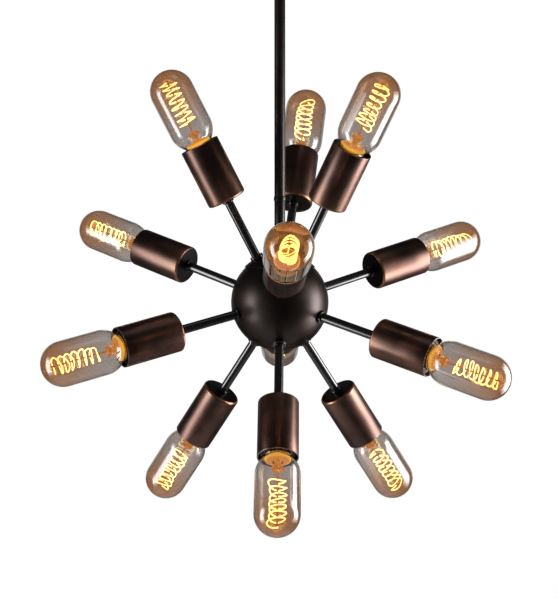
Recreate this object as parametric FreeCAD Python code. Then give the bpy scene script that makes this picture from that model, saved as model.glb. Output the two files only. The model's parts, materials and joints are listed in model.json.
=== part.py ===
"""Sputnik chandelier: twelve lamp arms on a ball, hung from a ceiling canopy by a stem.

Millimetres, +Z up. The origin is the middle of the ceiling fitting, on the ceiling, and everything
hangs below it. Pieces that repeat on every arm are drawn once along +Z, with heights measured from
the middle of the ball, and are then aimed. Screw threads are drawn as plain cylinders.
"""
import FreeCAD
import Part

import math
import os

from FreeCAD import Placement, Rotation, Vector

# ---------------------------------------------------------------- driving sizes: ceiling fitting
CANOPY_DIAMETER = 127.0
CANOPY_DEPTH = 28.0
CANOPY_WALL = 1.2
CANOPY_EDGE_RADIUS = 22.0
CROSSBAR_END_MARGIN = 2.55
CROSSBAR_WIDTH = 20.0
CROSSBAR_THICKNESS = 2.5
CROSSBAR_CORNER_RADIUS = 3.0
BOX_SCREW_SPACING = 88.9
BOX_SLOT_LENGTH = 12.0
BOX_SLOT_WIDTH = 5.2
CANOPY_SCREW_SPACING = 60.0
CANOPY_SCREW_DIAMETER = 4.0
CANOPY_SCREW_SHOULDER_DIAMETER = 7.0
CANOPY_SCREW_SHOULDER_HEIGHT = 2.5
CANOPY_SCREW_REACH = 6.0
KNOB_DIAMETER = 11.0
KNOB_HEIGHT = 10.0
KNOB_GRIP_COUNT = 10
KNOB_GRIP_RADIUS = 0.9

# ---------------------------------------------------------------- driving sizes: nipple and swivel
NIPPLE_DIAMETER = 10.0
NIPPLE_BORE = 6.5
NIPPLE_HEAD_DIAMETER = 13.6
NIPPLE_HEAD_HEIGHT = 3.0
NIPPLE_NUT_WIDTH = 14.0
NIPPLE_NUT_HEIGHT = 4.0
YOKE_DIAMETER = 26.0
YOKE_TOP_THICKNESS = 7.0
YOKE_CANOPY_GAP = 0.6
EAR_RADIUS = 10.0
KNUCKLE_THICKNESS = 14.0
KNUCKLE_RADIUS = 9.5
KNUCKLE_HEAD_GAP = 1.0
KNUCKLE_COLLAR_DIAMETER = 16.0
KNUCKLE_COLLAR_HEIGHT = 14.0
PIN_DIAMETER = 5.0
PIN_HEAD_DIAMETER = 8.0
PIN_HEAD_HEIGHT = 1.6

# ---------------------------------------------------------------- driving sizes: stem
STEM_DIAMETER = 11.4
STEM_BORE = 8.0
STEM_THREAD_DIAMETER = 10.0
STEM_THREAD_LENGTH = 10.0
UPPER_STEM_LENGTH = 304.8
LOWER_STEM_LENGTH = 53.2
COUPLING_DIAMETER = 12.6
COUPLING_HEIGHT = 4.5
COUPLING_STUD_LENGTH = 9.0
COUPLING_BORE = 5.5

# ---------------------------------------------------------------- driving sizes: ball
BALL_DIAMETER = 101.6
BALL_WALL = 1.2
BALL_OPENING_ANGLE = 42.8
LID_WALL = 1.3
LID_LIP_ANGLE = 44.9
STRAP_HEIGHT_SHARE = 0.62
STRAP_THICKNESS = 3.0
STRAP_WIDTH = 12.0
STRAP_AZIMUTH = 107.0
STEM_NUT_WIDTH = 15.0
STEM_NUT_HEIGHT = 5.0

# ---------------------------------------------------------------- driving sizes: arms
# Aim of each arm in degrees: (from straight up, round from +X towards +Y).
TOP_AIMS = ((28.0, 197.0), (30.0, 76.0), (32.0, 318.0))
UPPER_AIMS = ((76.0, 272.0), (72.0, 151.0), (75.0, 30.0))
LOWER_AIMS = ((103.0, 208.0), (106.0, 329.0), (106.0, 90.0))
BOTTOM_AIMS = ((144.0, 151.0), (143.0, 269.0), (144.0, 30.0))
ROD_DIAMETER = 9.4
ROD_BORE = 5.0
ROD_THREAD_DIAMETER = 8.0
ROD_THREAD_PAST_NUT = 1.5
HUB_COLLAR_DIAMETER = 14.0
HUB_COLLAR_HEIGHT = 3.0
ARM_NUT_WIDTH = 12.0
ARM_NUT_HEIGHT = 4.0
CUP_COLLAR_DIAMETER = 12.2
CUP_COLLAR_HEIGHT = 3.0

# ---------------------------------------------------------------- driving sizes: cups and lamp holders
CUP_BACK_DISTANCE = 120.0
CUP_LENGTH = 63.0
CUP_DIAMETER = 41.0
CUP_WALL = 1.2
CUP_CORNER_RADIUS = 2.6
HOLDER_DIAMETER = 37.2
HOLDER_LENGTH = 57.8
HOLDER_SOCKET_DEPTH = 24.6
HOLDER_THREAD_DEPTH = 7.0
HOLDER_EDGE = 1.0
SCREW_SHELL_BORE = 27.0
SCREW_SHELL_WALL = 0.5
CONTACT_DIAMETER = 8.0
CONTACT_THICKNESS = 1.0

# ---------------------------------------------------------------- driving sizes: bulbs
BULB_LENGTH = 110.0
GLASS_DIAMETER = 45.0
GLASS_WALL = 0.8
GLASS_NECK_DIAMETER = 24.4
GLASS_SHOULDER_RADIUS = 24.0
BASE_DIAMETER = 26.2
BASE_LENGTH = 26.8
BASE_WALL = 0.7
BASE_TIP_DIAMETER = 9.5
BASE_TIP_HEIGHT = 1.0
BASE_CONE_HEIGHT = 4.0
NECK_SEAT_DEPTH = 10.0
NECK_SEAT_LEDGE = 1.5
MOUNT_FLARE_HEIGHT = 9.0
MOUNT_STEM_DIAMETER = 8.0
MOUNT_STEM_HEIGHT = 9.0
MOUNT_ROD_DIAMETER = 2.4
COIL_TURNS = 7
COIL_PITCH = 8.0
COIL_DIAMETER = 16.0
COIL_ABOVE_STEM = 5.0
COIL_LEG_BEND_RADIUS = 3.0
WIRE_DIAMETER = 0.8
ROD_ABOVE_COIL = 1.5

# ---------------------------------------------------------------- clearances
THREAD_FIT = 0.05
RUNNING_FIT = 0.05
HOLE_FIT = 0.25
PIECE_FIT = 0.2

# ---------------------------------------------------------------- sizes and heights that follow
# BALL_OPENING_ANGLE and LID_LIP_ANGLE are measured at the middle of the ball, from straight up.
CROSSBAR_LENGTH = BOX_SCREW_SPACING + BOX_SLOT_LENGTH + 2 * CROSSBAR_END_MARGIN
CANOPY_FACE_Z = -CANOPY_DEPTH
YOKE_TOP_Z = CANOPY_FACE_Z - YOKE_CANOPY_GAP
YOKE_UNDERSIDE_Z = YOKE_TOP_Z - YOKE_TOP_THICKNESS
NIPPLE_END_Z = YOKE_UNDERSIDE_Z - NIPPLE_HEAD_HEIGHT
PIN_Z = NIPPLE_END_Z - KNUCKLE_HEAD_GAP - KNUCKLE_RADIUS
KNUCKLE_COLLAR_TOP_Z = PIN_Z - EAR_RADIUS - 2.0
KNUCKLE_END_Z = KNUCKLE_COLLAR_TOP_Z - KNUCKLE_COLLAR_HEIGHT
COUPLING_TOP_Z = KNUCKLE_END_Z - UPPER_STEM_LENGTH
COUPLING_END_Z = COUPLING_TOP_Z - COUPLING_HEIGHT
LID_TOP_Z = COUPLING_END_Z - LOWER_STEM_LENGTH
BALL_RADIUS = BALL_DIAMETER / 2
BALL_OPENING_RADIUS = BALL_RADIUS * math.sin(math.radians(BALL_OPENING_ANGLE))
LID_LIP_HEIGHT = BALL_RADIUS * math.cos(math.radians(LID_LIP_ANGLE))
STRAP_TOP_HEIGHT = BALL_RADIUS * STRAP_HEIGHT_SHARE
LID_RADIUS = BALL_RADIUS + LID_WALL
BALL_CENTRE = Vector(0, 0, LID_TOP_Z - LID_RADIUS)
CUP_MOUTH = CUP_BACK_DISTANCE + CUP_LENGTH
HOLDER_BACK = CUP_BACK_DISTANCE + CUP_WALL
HOLDER_RIM = HOLDER_BACK + HOLDER_LENGTH
SOCKET_FLOOR = HOLDER_RIM - HOLDER_SOCKET_DEPTH
BULB_SEAT = SOCKET_FLOOR + CONTACT_THICKNESS
BULB_TIP = BULB_SEAT + BULB_LENGTH
BASE_TOP = BULB_SEAT + BASE_LENGTH
NECK_SEAT = BASE_TOP - NECK_SEAT_DEPTH


# ---------------------------------------------------------------- helpers
def lathe(start, *steps):
    """Solid turned about Z from an outline of (radius, height) points.

    A step that holds two points is an arc through the first of them to the second.
    """
    edges = []
    here = Vector(start[0], 0, start[1])
    for step in steps + (start,):
        if isinstance(step[0], tuple):
            via = Vector(step[0][0], 0, step[0][1])
            there = Vector(step[1][0], 0, step[1][1])
            edges.append(Part.Arc(here, via, there).toShape())
        else:
            there = Vector(step[0], 0, step[1])
            if there.isEqual(here, 1e-7):
                continue
            edges.append(Part.LineSegment(here, there).toShape())
        here = there
    face = Part.Face(Part.Wire(edges))
    return face.revolve(Vector(0, 0, 0), Vector(0, 0, 1), 360)


def rod(diameter, low, high):
    """Cylinder on the Z axis between two heights."""
    return Part.makeCylinder(diameter / 2, high - low, Vector(0, 0, low))


def ring(outer, inner, low, high):
    """Ring on the Z axis between two heights, given its two diameters."""
    return rod(outer, low, high).cut(rod(inner, low - 1, high + 1))


def slab(x_size, y_size, low, high):
    """Block centred on the Z axis between two heights."""
    return Part.makeBox(x_size, y_size, high - low, Vector(-x_size / 2, -y_size / 2, low))


def hexagon(width, bore, low, high):
    """Hexagonal nut on the Z axis, its width measured across the flats."""
    corner = width / math.sqrt(3)
    angles = [math.radians(60 * k) for k in range(7)]
    points = [Vector(corner * math.cos(a), corner * math.sin(a), low) for a in angles]
    prism = Part.Face(Part.makePolygon(points)).extrude(Vector(0, 0, high - low))
    return prism.cut(rod(bore, low - 1, high + 1))


def round_edges(shape, radius, chosen):
    """Fillet the edges that the test picks out."""
    return shape.makeFillet(radius, [edge for edge in shape.Edges if chosen(edge)])


def on_arc(centre_r, centre_z, radius, degrees):
    """Point of an arc in an outline, at an angle from the outward radius."""
    angle = math.radians(degrees)
    return (centre_r + radius * math.cos(angle), centre_z + radius * math.sin(angle))


def aimed(shape, aim):
    """Copy of an arm piece swung from +Z to its aim about the middle of the ball."""
    polar, azimuth = aim
    turn = Rotation(Vector(0, 0, 1), azimuth) * Rotation(Vector(0, 1, 0), polar)
    copy = shape.copy()
    copy.Placement = Placement(BALL_CENTRE, turn).multiply(copy.Placement)
    return copy


def on_every_arm(shape_for_surface):
    """Compound of a piece on all twelve arms; the top tier stands on the lid, the rest on the ball."""
    copies = [aimed(shape_for_surface(LID_RADIUS, LID_WALL), aim) for aim in TOP_AIMS]
    others = UPPER_AIMS + LOWER_AIMS + BOTTOM_AIMS
    copies += [aimed(shape_for_surface(BALL_RADIUS, BALL_WALL), aim) for aim in others]
    return Part.makeCompound(copies)


def rod_holes(radius, aims):
    """Drills through a wall of the ball for the threaded ends of some arms."""
    drill = rod(ROD_THREAD_DIAMETER + 2 * HOLE_FIT, radius / 2, radius + 1)
    return [aimed(drill, aim) for aim in aims]


# ---------------------------------------------------------------- ceiling fitting
def crossbar():
    """Flat bar that two screws hold to the outlet box, with its centre tapped for the nipple."""
    bar = slab(CROSSBAR_LENGTH, CROSSBAR_WIDTH, -CROSSBAR_THICKNESS, 0)
    bar = round_edges(bar, CROSSBAR_CORNER_RADIUS, lambda e: abs(e.tangentAt(e.FirstParameter).z) > 0.9)
    bar = bar.cut(rod(NIPPLE_DIAMETER + 2 * THREAD_FIT, -CROSSBAR_THICKNESS - 1, 1))
    for side in (-1, 1):
        slot = slab(BOX_SLOT_LENGTH, BOX_SLOT_WIDTH, -CROSSBAR_THICKNESS - 1, 1)
        slot = round_edges(slot, BOX_SLOT_WIDTH / 2 - 1e-3, lambda e: abs(e.tangentAt(e.FirstParameter).z) > 0.9)
        slot.translate(Vector(side * BOX_SCREW_SPACING / 2, 0, 0))
        tapped = rod(CANOPY_SCREW_DIAMETER + 2 * THREAD_FIT, -CROSSBAR_THICKNESS - 1, 1)
        tapped.translate(Vector(side * CANOPY_SCREW_SPACING / 2, 0, 0))
        bar = bar.cut(slot).cut(tapped)
    return bar


def canopy():
    """Dished cover, open to the ceiling, with holes for the nipple and the two canopy screws."""
    outer = CANOPY_DIAMETER / 2
    inner = outer - CANOPY_WALL
    bend = CANOPY_EDGE_RADIUS
    inner_bend = bend - CANOPY_WALL
    flat = outer - bend
    bend_z = CANOPY_FACE_Z + bend
    dish = lathe(
        (outer, 0),
        (outer, bend_z),
        (on_arc(flat, bend_z, bend, -45), (flat, CANOPY_FACE_Z)),
        (0, CANOPY_FACE_Z),
        (0, CANOPY_FACE_Z + CANOPY_WALL),
        (flat, CANOPY_FACE_Z + CANOPY_WALL),
        (on_arc(flat, bend_z, inner_bend, -45), (inner, bend_z)),
        (inner, 0),
    )
    dish = dish.cut(rod(NIPPLE_DIAMETER + 2 * HOLE_FIT, CANOPY_FACE_Z - 1, 0))
    for side in (-1, 1):
        hole = rod(CANOPY_SCREW_DIAMETER + 2 * HOLE_FIT, CANOPY_FACE_Z - 1, 0)
        hole.translate(Vector(side * CANOPY_SCREW_SPACING / 2, 0, 0))
        dish = dish.cut(hole)
    return dish


def on_both_sides(shape):
    """Compound of a piece at the two canopy screws."""
    copies = [shape.copy(), shape.copy()]
    copies[0].translate(Vector(-CANOPY_SCREW_SPACING / 2, 0, 0))
    copies[1].translate(Vector(CANOPY_SCREW_SPACING / 2, 0, 0))
    return Part.makeCompound(copies)


def canopy_screws():
    """Studs tapped into the crossbar that reach down through the canopy."""
    stud = rod(CANOPY_SCREW_DIAMETER, CANOPY_FACE_Z - CANOPY_SCREW_REACH, 0)
    shoulder_top = -CROSSBAR_THICKNESS
    shoulder = rod(CANOPY_SCREW_SHOULDER_DIAMETER, shoulder_top - CANOPY_SCREW_SHOULDER_HEIGHT, shoulder_top)
    return on_both_sides(stud.fuse(shoulder).removeSplitter())


def canopy_knobs():
    """Knurled cap nuts that draw the canopy up to the ceiling."""
    low = CANOPY_FACE_Z - KNOB_HEIGHT
    knob = rod(KNOB_DIAMETER, low, CANOPY_FACE_Z)
    knob = round_edges(knob, KNOB_DIAMETER / 6, lambda e: e.BoundBox.ZMax < low + 1e-6)
    depth = CANOPY_SCREW_REACH + PIECE_FIT
    knob = knob.cut(rod(CANOPY_SCREW_DIAMETER + 2 * THREAD_FIT, CANOPY_FACE_Z - depth, CANOPY_FACE_Z + 1))
    groove = Part.makeCylinder(KNOB_GRIP_RADIUS, KNOB_HEIGHT + 2, Vector(KNOB_DIAMETER / 2, 0, low - 1))
    for k in range(KNOB_GRIP_COUNT):
        turned = groove.copy()
        turned.rotate(Vector(0, 0, 0), Vector(0, 0, 1), 360.0 * k / KNOB_GRIP_COUNT)
        knob = knob.cut(turned)
    return on_both_sides(knob)


# ---------------------------------------------------------------- nipple and swivel
def nipple():
    """Hollow bolt through crossbar and canopy; its head carries the yoke, which turns on it."""
    shank = rod(NIPPLE_DIAMETER, NIPPLE_END_Z, 0)
    head = rod(NIPPLE_HEAD_DIAMETER, NIPPLE_END_Z, YOKE_UNDERSIDE_Z)
    return shank.fuse(head).removeSplitter().cut(rod(NIPPLE_BORE, NIPPLE_END_Z - 1, 1))


def nipple_nut():
    """Lock nut on the nipple, tight against the crossbar."""
    top = -CROSSBAR_THICKNESS
    return hexagon(NIPPLE_NUT_WIDTH, NIPPLE_DIAMETER + 2 * THREAD_FIT, top - NIPPLE_NUT_HEIGHT, top)


def yoke():
    """Turning fork: a round top on the nipple and two ears that hold the pin."""
    body = rod(YOKE_DIAMETER, PIN_Z - EAR_RADIUS, YOKE_TOP_Z)
    gap = KNUCKLE_THICKNESS + 2 * PIECE_FIT
    body = body.cut(slab(gap, YOKE_DIAMETER + 2, PIN_Z - EAR_RADIUS - 1, YOKE_UNDERSIDE_Z))
    side_x = YOKE_DIAMETER / 2 + 1
    disc = Part.makeCylinder(EAR_RADIUS, 2 * side_x, Vector(-side_x, 0, PIN_Z), Vector(1, 0, 0))
    ears = slab(2 * side_x, 2 * EAR_RADIUS, PIN_Z, YOKE_TOP_Z).fuse(disc)
    top = slab(2 * side_x, YOKE_DIAMETER, YOKE_UNDERSIDE_Z, YOKE_TOP_Z)
    body = body.common(ears.fuse(top)).removeSplitter()
    body = body.cut(rod(NIPPLE_DIAMETER + 2 * RUNNING_FIT, YOKE_UNDERSIDE_Z - 1, YOKE_TOP_Z + 1))
    hole = Part.makeCylinder(PIN_DIAMETER / 2, 2 * side_x, Vector(-side_x, 0, PIN_Z), Vector(1, 0, 0))
    for direction in (-1, 1):
        seat = Vector(direction * pin_seat_x(), 0, PIN_Z)
        spot = Part.makeCylinder(PIN_HEAD_DIAMETER / 2 + HOLE_FIT, side_x, seat, Vector(direction, 0, 0))
        body = body.cut(spot)
    return body.cut(hole)


def pin_seat_x():
    """Distance from the axis of the flat spots on the round ears where the pin's heads sit."""
    return math.sqrt((YOKE_DIAMETER / 2) ** 2 - (PIN_HEAD_DIAMETER / 2 + HOLE_FIT) ** 2)


def swivel_pin():
    """Rivet across the two ears, with its heads outside them."""
    head_x = pin_seat_x()
    half = head_x + PIN_HEAD_HEIGHT
    pin = lathe(
        (0, -half),
        (PIN_HEAD_DIAMETER / 2 - PIN_HEAD_HEIGHT / 2, -half),
        (PIN_HEAD_DIAMETER / 2, -half + PIN_HEAD_HEIGHT / 2),
        (PIN_HEAD_DIAMETER / 2, -head_x),
        (PIN_DIAMETER / 2, -head_x),
        (PIN_DIAMETER / 2, head_x),
        (PIN_HEAD_DIAMETER / 2, head_x),
        (PIN_HEAD_DIAMETER / 2, half - PIN_HEAD_HEIGHT / 2),
        (PIN_HEAD_DIAMETER / 2 - PIN_HEAD_HEIGHT / 2, half),
        (0, half),
    )
    pin.rotate(Vector(0, 0, 0), Vector(0, 1, 0), 90)
    pin.translate(Vector(0, 0, PIN_Z))
    return pin


def knuckle():
    """Tongue on the pin, with a collar below that the stem screws into."""
    half = KNUCKLE_THICKNESS / 2
    disc = Part.makeCylinder(KNUCKLE_RADIUS, KNUCKLE_THICKNESS, Vector(-half, 0, PIN_Z), Vector(1, 0, 0))
    web = slab(KNUCKLE_THICKNESS, 2 * KNUCKLE_RADIUS, KNUCKLE_COLLAR_TOP_Z, PIN_Z)
    within = rod(KNUCKLE_COLLAR_DIAMETER, KNUCKLE_COLLAR_TOP_Z, PIN_Z)
    collar = rod(KNUCKLE_COLLAR_DIAMETER, KNUCKLE_END_Z, KNUCKLE_COLLAR_TOP_Z)
    body = disc.fuse(web.common(within)).fuse(collar).removeSplitter()
    socket_top = KNUCKLE_END_Z + STEM_THREAD_LENGTH + PIECE_FIT
    body = body.cut(rod(STEM_THREAD_DIAMETER + 2 * THREAD_FIT, KNUCKLE_END_Z - 1, socket_top))
    hole = Part.makeCylinder(
        PIN_DIAMETER / 2 + RUNNING_FIT, KNUCKLE_THICKNESS + 2, Vector(-half - 1, 0, PIN_Z), Vector(1, 0, 0)
    )
    return body.cut(hole)


# ---------------------------------------------------------------- stem
def upper_stem():
    """Long tube, threaded at its top into the knuckle."""
    tube = rod(STEM_DIAMETER, COUPLING_TOP_Z, KNUCKLE_END_Z)
    thread = rod(STEM_THREAD_DIAMETER, KNUCKLE_END_Z, KNUCKLE_END_Z + STEM_THREAD_LENGTH)
    return tube.fuse(thread).cut(rod(STEM_BORE, COUPLING_TOP_Z - 1, KNUCKLE_END_Z + STEM_THREAD_LENGTH + 1))


def stem_coupling():
    """Ring between the two tubes, with a threaded stud into each."""
    low = COUPLING_END_Z - COUPLING_STUD_LENGTH
    high = COUPLING_TOP_Z + COUPLING_STUD_LENGTH
    studs = rod(STEM_BORE - 2 * THREAD_FIT, low, high)
    body = rod(COUPLING_DIAMETER, COUPLING_END_Z, COUPLING_TOP_Z).fuse(studs).removeSplitter()
    return body.cut(rod(COUPLING_BORE, low - 1, high + 1))


def stem_nut_top_z():
    """Height of the top of the nut that draws the strap up: the strap's underside."""
    return BALL_CENTRE.z + STRAP_TOP_HEIGHT - STRAP_THICKNESS


def lower_stem():
    """Short tube; its shoulder stands on the lid and its thread goes down through the strap."""
    tube = rod(STEM_DIAMETER, LID_TOP_Z, COUPLING_END_Z)
    thread_end = stem_nut_top_z() - STEM_NUT_HEIGHT - ROD_THREAD_PAST_NUT
    thread = rod(STEM_THREAD_DIAMETER, thread_end, LID_TOP_Z)
    return tube.fuse(thread).cut(rod(STEM_BORE, thread_end - 1, COUPLING_END_Z + 1))


# ---------------------------------------------------------------- ball
def ball():
    """Spun hollow ball with a wide hand hole at the top and a hole for each of nine arms."""
    shell = Part.makeSphere(BALL_RADIUS).cut(Part.makeSphere(BALL_RADIUS - BALL_WALL))
    shell = shell.cut(rod(2 * BALL_OPENING_RADIUS, 0, BALL_RADIUS + 1))
    shell.translate(BALL_CENTRE)
    return shell.cut(rod_holes(BALL_RADIUS, UPPER_AIMS + LOWER_AIMS + BOTTOM_AIMS))


def lid():
    """Domed lid that laps over the ball's hand hole, with holes for the stem and three arms."""
    shell = Part.makeSphere(LID_RADIUS).cut(Part.makeSphere(BALL_RADIUS))
    shell = shell.cut(slab(2 * LID_RADIUS + 2, 2 * LID_RADIUS + 2, -LID_RADIUS - 1, LID_LIP_HEIGHT))
    shell = shell.cut(rod(STEM_THREAD_DIAMETER + 2 * HOLE_FIT, 0, LID_RADIUS + 1))
    shell.translate(BALL_CENTRE)
    return shell.cut(rod_holes(LID_RADIUS, TOP_AIMS))


def strap():
    """Bar across the inside of the ball that the stem's nut pulls up against the wall."""
    low = STRAP_TOP_HEIGHT - STRAP_THICKNESS
    bar = slab(BALL_DIAMETER, STRAP_WIDTH, low, STRAP_TOP_HEIGHT)
    bar = bar.common(Part.makeSphere(BALL_RADIUS - BALL_WALL))
    bar = bar.cut(rod(STEM_THREAD_DIAMETER + 2 * HOLE_FIT, low - 1, STRAP_TOP_HEIGHT + 1))
    bar.rotate(Vector(0, 0, 0), Vector(0, 0, 1), STRAP_AZIMUTH)
    bar.translate(BALL_CENTRE)
    return bar


def stem_nut():
    """Nut under the strap: it clamps lid, strap and ball to the stem's shoulder."""
    top = stem_nut_top_z()
    return hexagon(STEM_NUT_WIDTH, STEM_THREAD_DIAMETER + 2 * THREAD_FIT, top - STEM_NUT_HEIGHT, top)


# ---------------------------------------------------------------- arms
def arm_nut_face(surface, wall):
    """Height where a nut's flat face meets the round inside of the wall at its corners."""
    corner = ARM_NUT_WIDTH / math.sqrt(3)
    return math.sqrt((surface - wall) ** 2 - corner**2)


def arm_rod(surface, wall):
    """Tube with a thinner threaded end through the ball and another through the cup."""
    shoulder = surface + HUB_COLLAR_HEIGHT
    inner_end = arm_nut_face(surface, wall) - ARM_NUT_HEIGHT - ROD_THREAD_PAST_NUT
    outer_shoulder = CUP_BACK_DISTANCE - CUP_COLLAR_HEIGHT
    outer_end = HOLDER_BACK + HOLDER_THREAD_DEPTH - PIECE_FIT
    body = rod(ROD_THREAD_DIAMETER, inner_end, outer_end).fuse(rod(ROD_DIAMETER, shoulder, outer_shoulder))
    return body.removeSplitter().cut(rod(ROD_BORE, inner_end - 1, outer_end + 1))


def hub_collar(surface, wall):
    """Check ring between the rod's shoulder and the ball, hollowed underneath to sit on it."""
    body = ring(HUB_COLLAR_DIAMETER, ROD_THREAD_DIAMETER + 2 * THREAD_FIT, surface - 2, surface + HUB_COLLAR_HEIGHT)
    return body.cut(Part.makeSphere(surface))


def arm_nut(surface, wall):
    """Hexagonal nut inside the ball."""
    face = arm_nut_face(surface, wall)
    return hexagon(ARM_NUT_WIDTH, ROD_THREAD_DIAMETER + 2 * THREAD_FIT, face - ARM_NUT_HEIGHT, face)


def cup_collar(surface, wall):
    """Check ring between the rod's outer shoulder and the back of the cup."""
    low = CUP_BACK_DISTANCE - CUP_COLLAR_HEIGHT
    return ring(CUP_COLLAR_DIAMETER, ROD_THREAD_DIAMETER + 2 * THREAD_FIT, low, CUP_BACK_DISTANCE)


# ---------------------------------------------------------------- cups and lamp holders
def cup(surface, wall):
    """Drawn cup with a flat back, rounded back corner and thin open mouth."""
    outer = CUP_DIAMETER / 2
    inner = outer - CUP_WALL
    corner = CUP_CORNER_RADIUS
    inner_corner = corner - CUP_WALL
    corner_r = outer - corner
    corner_z = CUP_BACK_DISTANCE + corner
    hole = ROD_THREAD_DIAMETER / 2 + HOLE_FIT
    return lathe(
        (hole, CUP_BACK_DISTANCE),
        (corner_r, CUP_BACK_DISTANCE),
        (on_arc(corner_r, corner_z, corner, -45), (outer, corner_z)),
        (outer, CUP_MOUTH),
        (inner, CUP_MOUTH),
        (inner, corner_z),
        (on_arc(corner_r, corner_z, inner_corner, -45), (corner_r, HOLDER_BACK)),
        (hole, HOLDER_BACK),
    )


def holder(surface, wall):
    """Moulded lamp holder: tapped at its back for the rod, bored at its front for the screw shell."""
    outer = HOLDER_DIAMETER / 2
    shell_seat = SCREW_SHELL_BORE / 2 + SCREW_SHELL_WALL + THREAD_FIT
    thread = ROD_THREAD_DIAMETER / 2 + THREAD_FIT
    return lathe(
        (thread, HOLDER_BACK),
        (outer - 2 * HOLDER_EDGE, HOLDER_BACK),
        (outer, HOLDER_BACK + 2 * HOLDER_EDGE),
        (outer, HOLDER_RIM - HOLDER_EDGE),
        (outer - HOLDER_EDGE, HOLDER_RIM),
        (shell_seat, HOLDER_RIM),
        (shell_seat, SOCKET_FLOOR),
        (0, SOCKET_FLOOR),
        (0, HOLDER_BACK + HOLDER_THREAD_DEPTH),
        (thread, HOLDER_BACK + HOLDER_THREAD_DEPTH),
    )


def screw_shell(surface, wall):
    """Thin brass sleeve that takes the bulb's screw base."""
    bore = SCREW_SHELL_BORE
    return ring(bore + 2 * SCREW_SHELL_WALL, bore, SOCKET_FLOOR, HOLDER_RIM - HOLDER_EDGE)


def contact(surface, wall):
    """Centre contact on the socket's floor, which the bulb's tip presses on."""
    return rod(CONTACT_DIAMETER, SOCKET_FLOOR, BULB_SEAT)


# ---------------------------------------------------------------- bulbs
def glass():
    """Straight tubular envelope with a domed tip, a round shoulder and a neck into the base."""
    body = GLASS_DIAMETER / 2
    neck = GLASS_NECK_DIAMETER / 2
    shoulder = GLASS_SHOULDER_RADIUS
    shoulder_r = body - shoulder
    rise = math.acos((neck - shoulder_r) / shoulder)
    shoulder_z = BASE_TOP + shoulder * math.sin(rise)
    half_rise = -math.degrees(rise) / 2
    dome_z = BULB_TIP - body
    inner = body - GLASS_WALL
    inner_neck = neck - GLASS_WALL
    inner_shoulder = shoulder - GLASS_WALL
    inner_rise = math.acos((inner_neck - shoulder_r) / inner_shoulder)
    inner_neck_z = shoulder_z - inner_shoulder * math.sin(inner_rise)
    inner_half_rise = -math.degrees(inner_rise) / 2
    return lathe(
        (neck, NECK_SEAT),
        (neck, BASE_TOP),
        (on_arc(shoulder_r, shoulder_z, shoulder, half_rise), (body, shoulder_z)),
        (body, dome_z),
        (on_arc(0, dome_z, body, 45), (0, BULB_TIP)),
        (0, BULB_TIP - GLASS_WALL),
        (on_arc(0, dome_z, inner, 45), (inner, dome_z)),
        (inner, shoulder_z),
        (on_arc(shoulder_r, shoulder_z, inner_shoulder, inner_half_rise), (inner_neck, inner_neck_z)),
        (inner_neck, NECK_SEAT),
    )


def base():
    """Screw base: a thin sleeve round the neck, closed by an insulator with a contact at its tip."""
    outer = BASE_DIAMETER / 2
    bore = GLASS_NECK_DIAMETER / 2 + PIECE_FIT
    ledge = GLASS_NECK_DIAMETER / 2 - NECK_SEAT_LEDGE
    tip = BASE_TIP_DIAMETER / 2
    cone_z = BULB_SEAT + BASE_TIP_HEIGHT
    sleeve_z = cone_z + BASE_CONE_HEIGHT
    return lathe(
        (0, BULB_SEAT),
        (tip, BULB_SEAT),
        (tip, cone_z),
        (outer - BASE_WALL, sleeve_z),
        (outer, sleeve_z),
        (outer, BASE_TOP),
        (bore, BASE_TOP),
        (bore, NECK_SEAT),
        (ledge, NECK_SEAT),
        (ledge, sleeve_z + BASE_WALL),
        (0, sleeve_z + BASE_WALL),
    )


def arc_leaving(start, tangent, end):
    """Arc edge from one point to another that sets off along a tangent."""
    chord = end - start
    along = Vector(chord).normalize()
    across = tangent - along * tangent.dot(along)
    if across.Length < 1e-9:
        return Part.LineSegment(start, end).toShape()
    lean = math.atan2(across.Length, tangent.dot(along))
    sag = chord.Length / 2 * math.tan(lean / 2)
    middle = (start + end) * 0.5 + across.normalize() * sag
    return Part.Arc(start, middle, end).toShape()


def biarc(start, start_tangent, end, end_tangent):
    """Two arc edges that join two points and meet smoothly, given the tangents at the points."""
    span = end - start
    both = start_tangent + end_tangent
    spread = 2 * (1 - start_tangent.dot(end_tangent))
    reach = (math.sqrt(span.dot(both) ** 2 + spread * span.dot(span)) - span.dot(both)) / spread
    meet = (start + end + (start_tangent - end_tangent) * reach) * 0.5
    meet_tangent = (end - end_tangent * reach - meet).normalize()
    return [arc_leaving(start, start_tangent, meet), arc_leaving(meet, meet_tangent, end)]


def coil_point(turns, low):
    """Point and tangent of the filament's helix after some turns, above its low end."""
    radius = COIL_DIAMETER / 2
    angle = 2 * math.pi * turns
    point = Vector(radius * math.cos(angle), radius * math.sin(angle), low + COIL_PITCH * turns)
    rise = COIL_PITCH / (2 * math.pi)
    return point, Vector(-radius * math.sin(angle), radius * math.cos(angle), rise).normalize()


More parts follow.
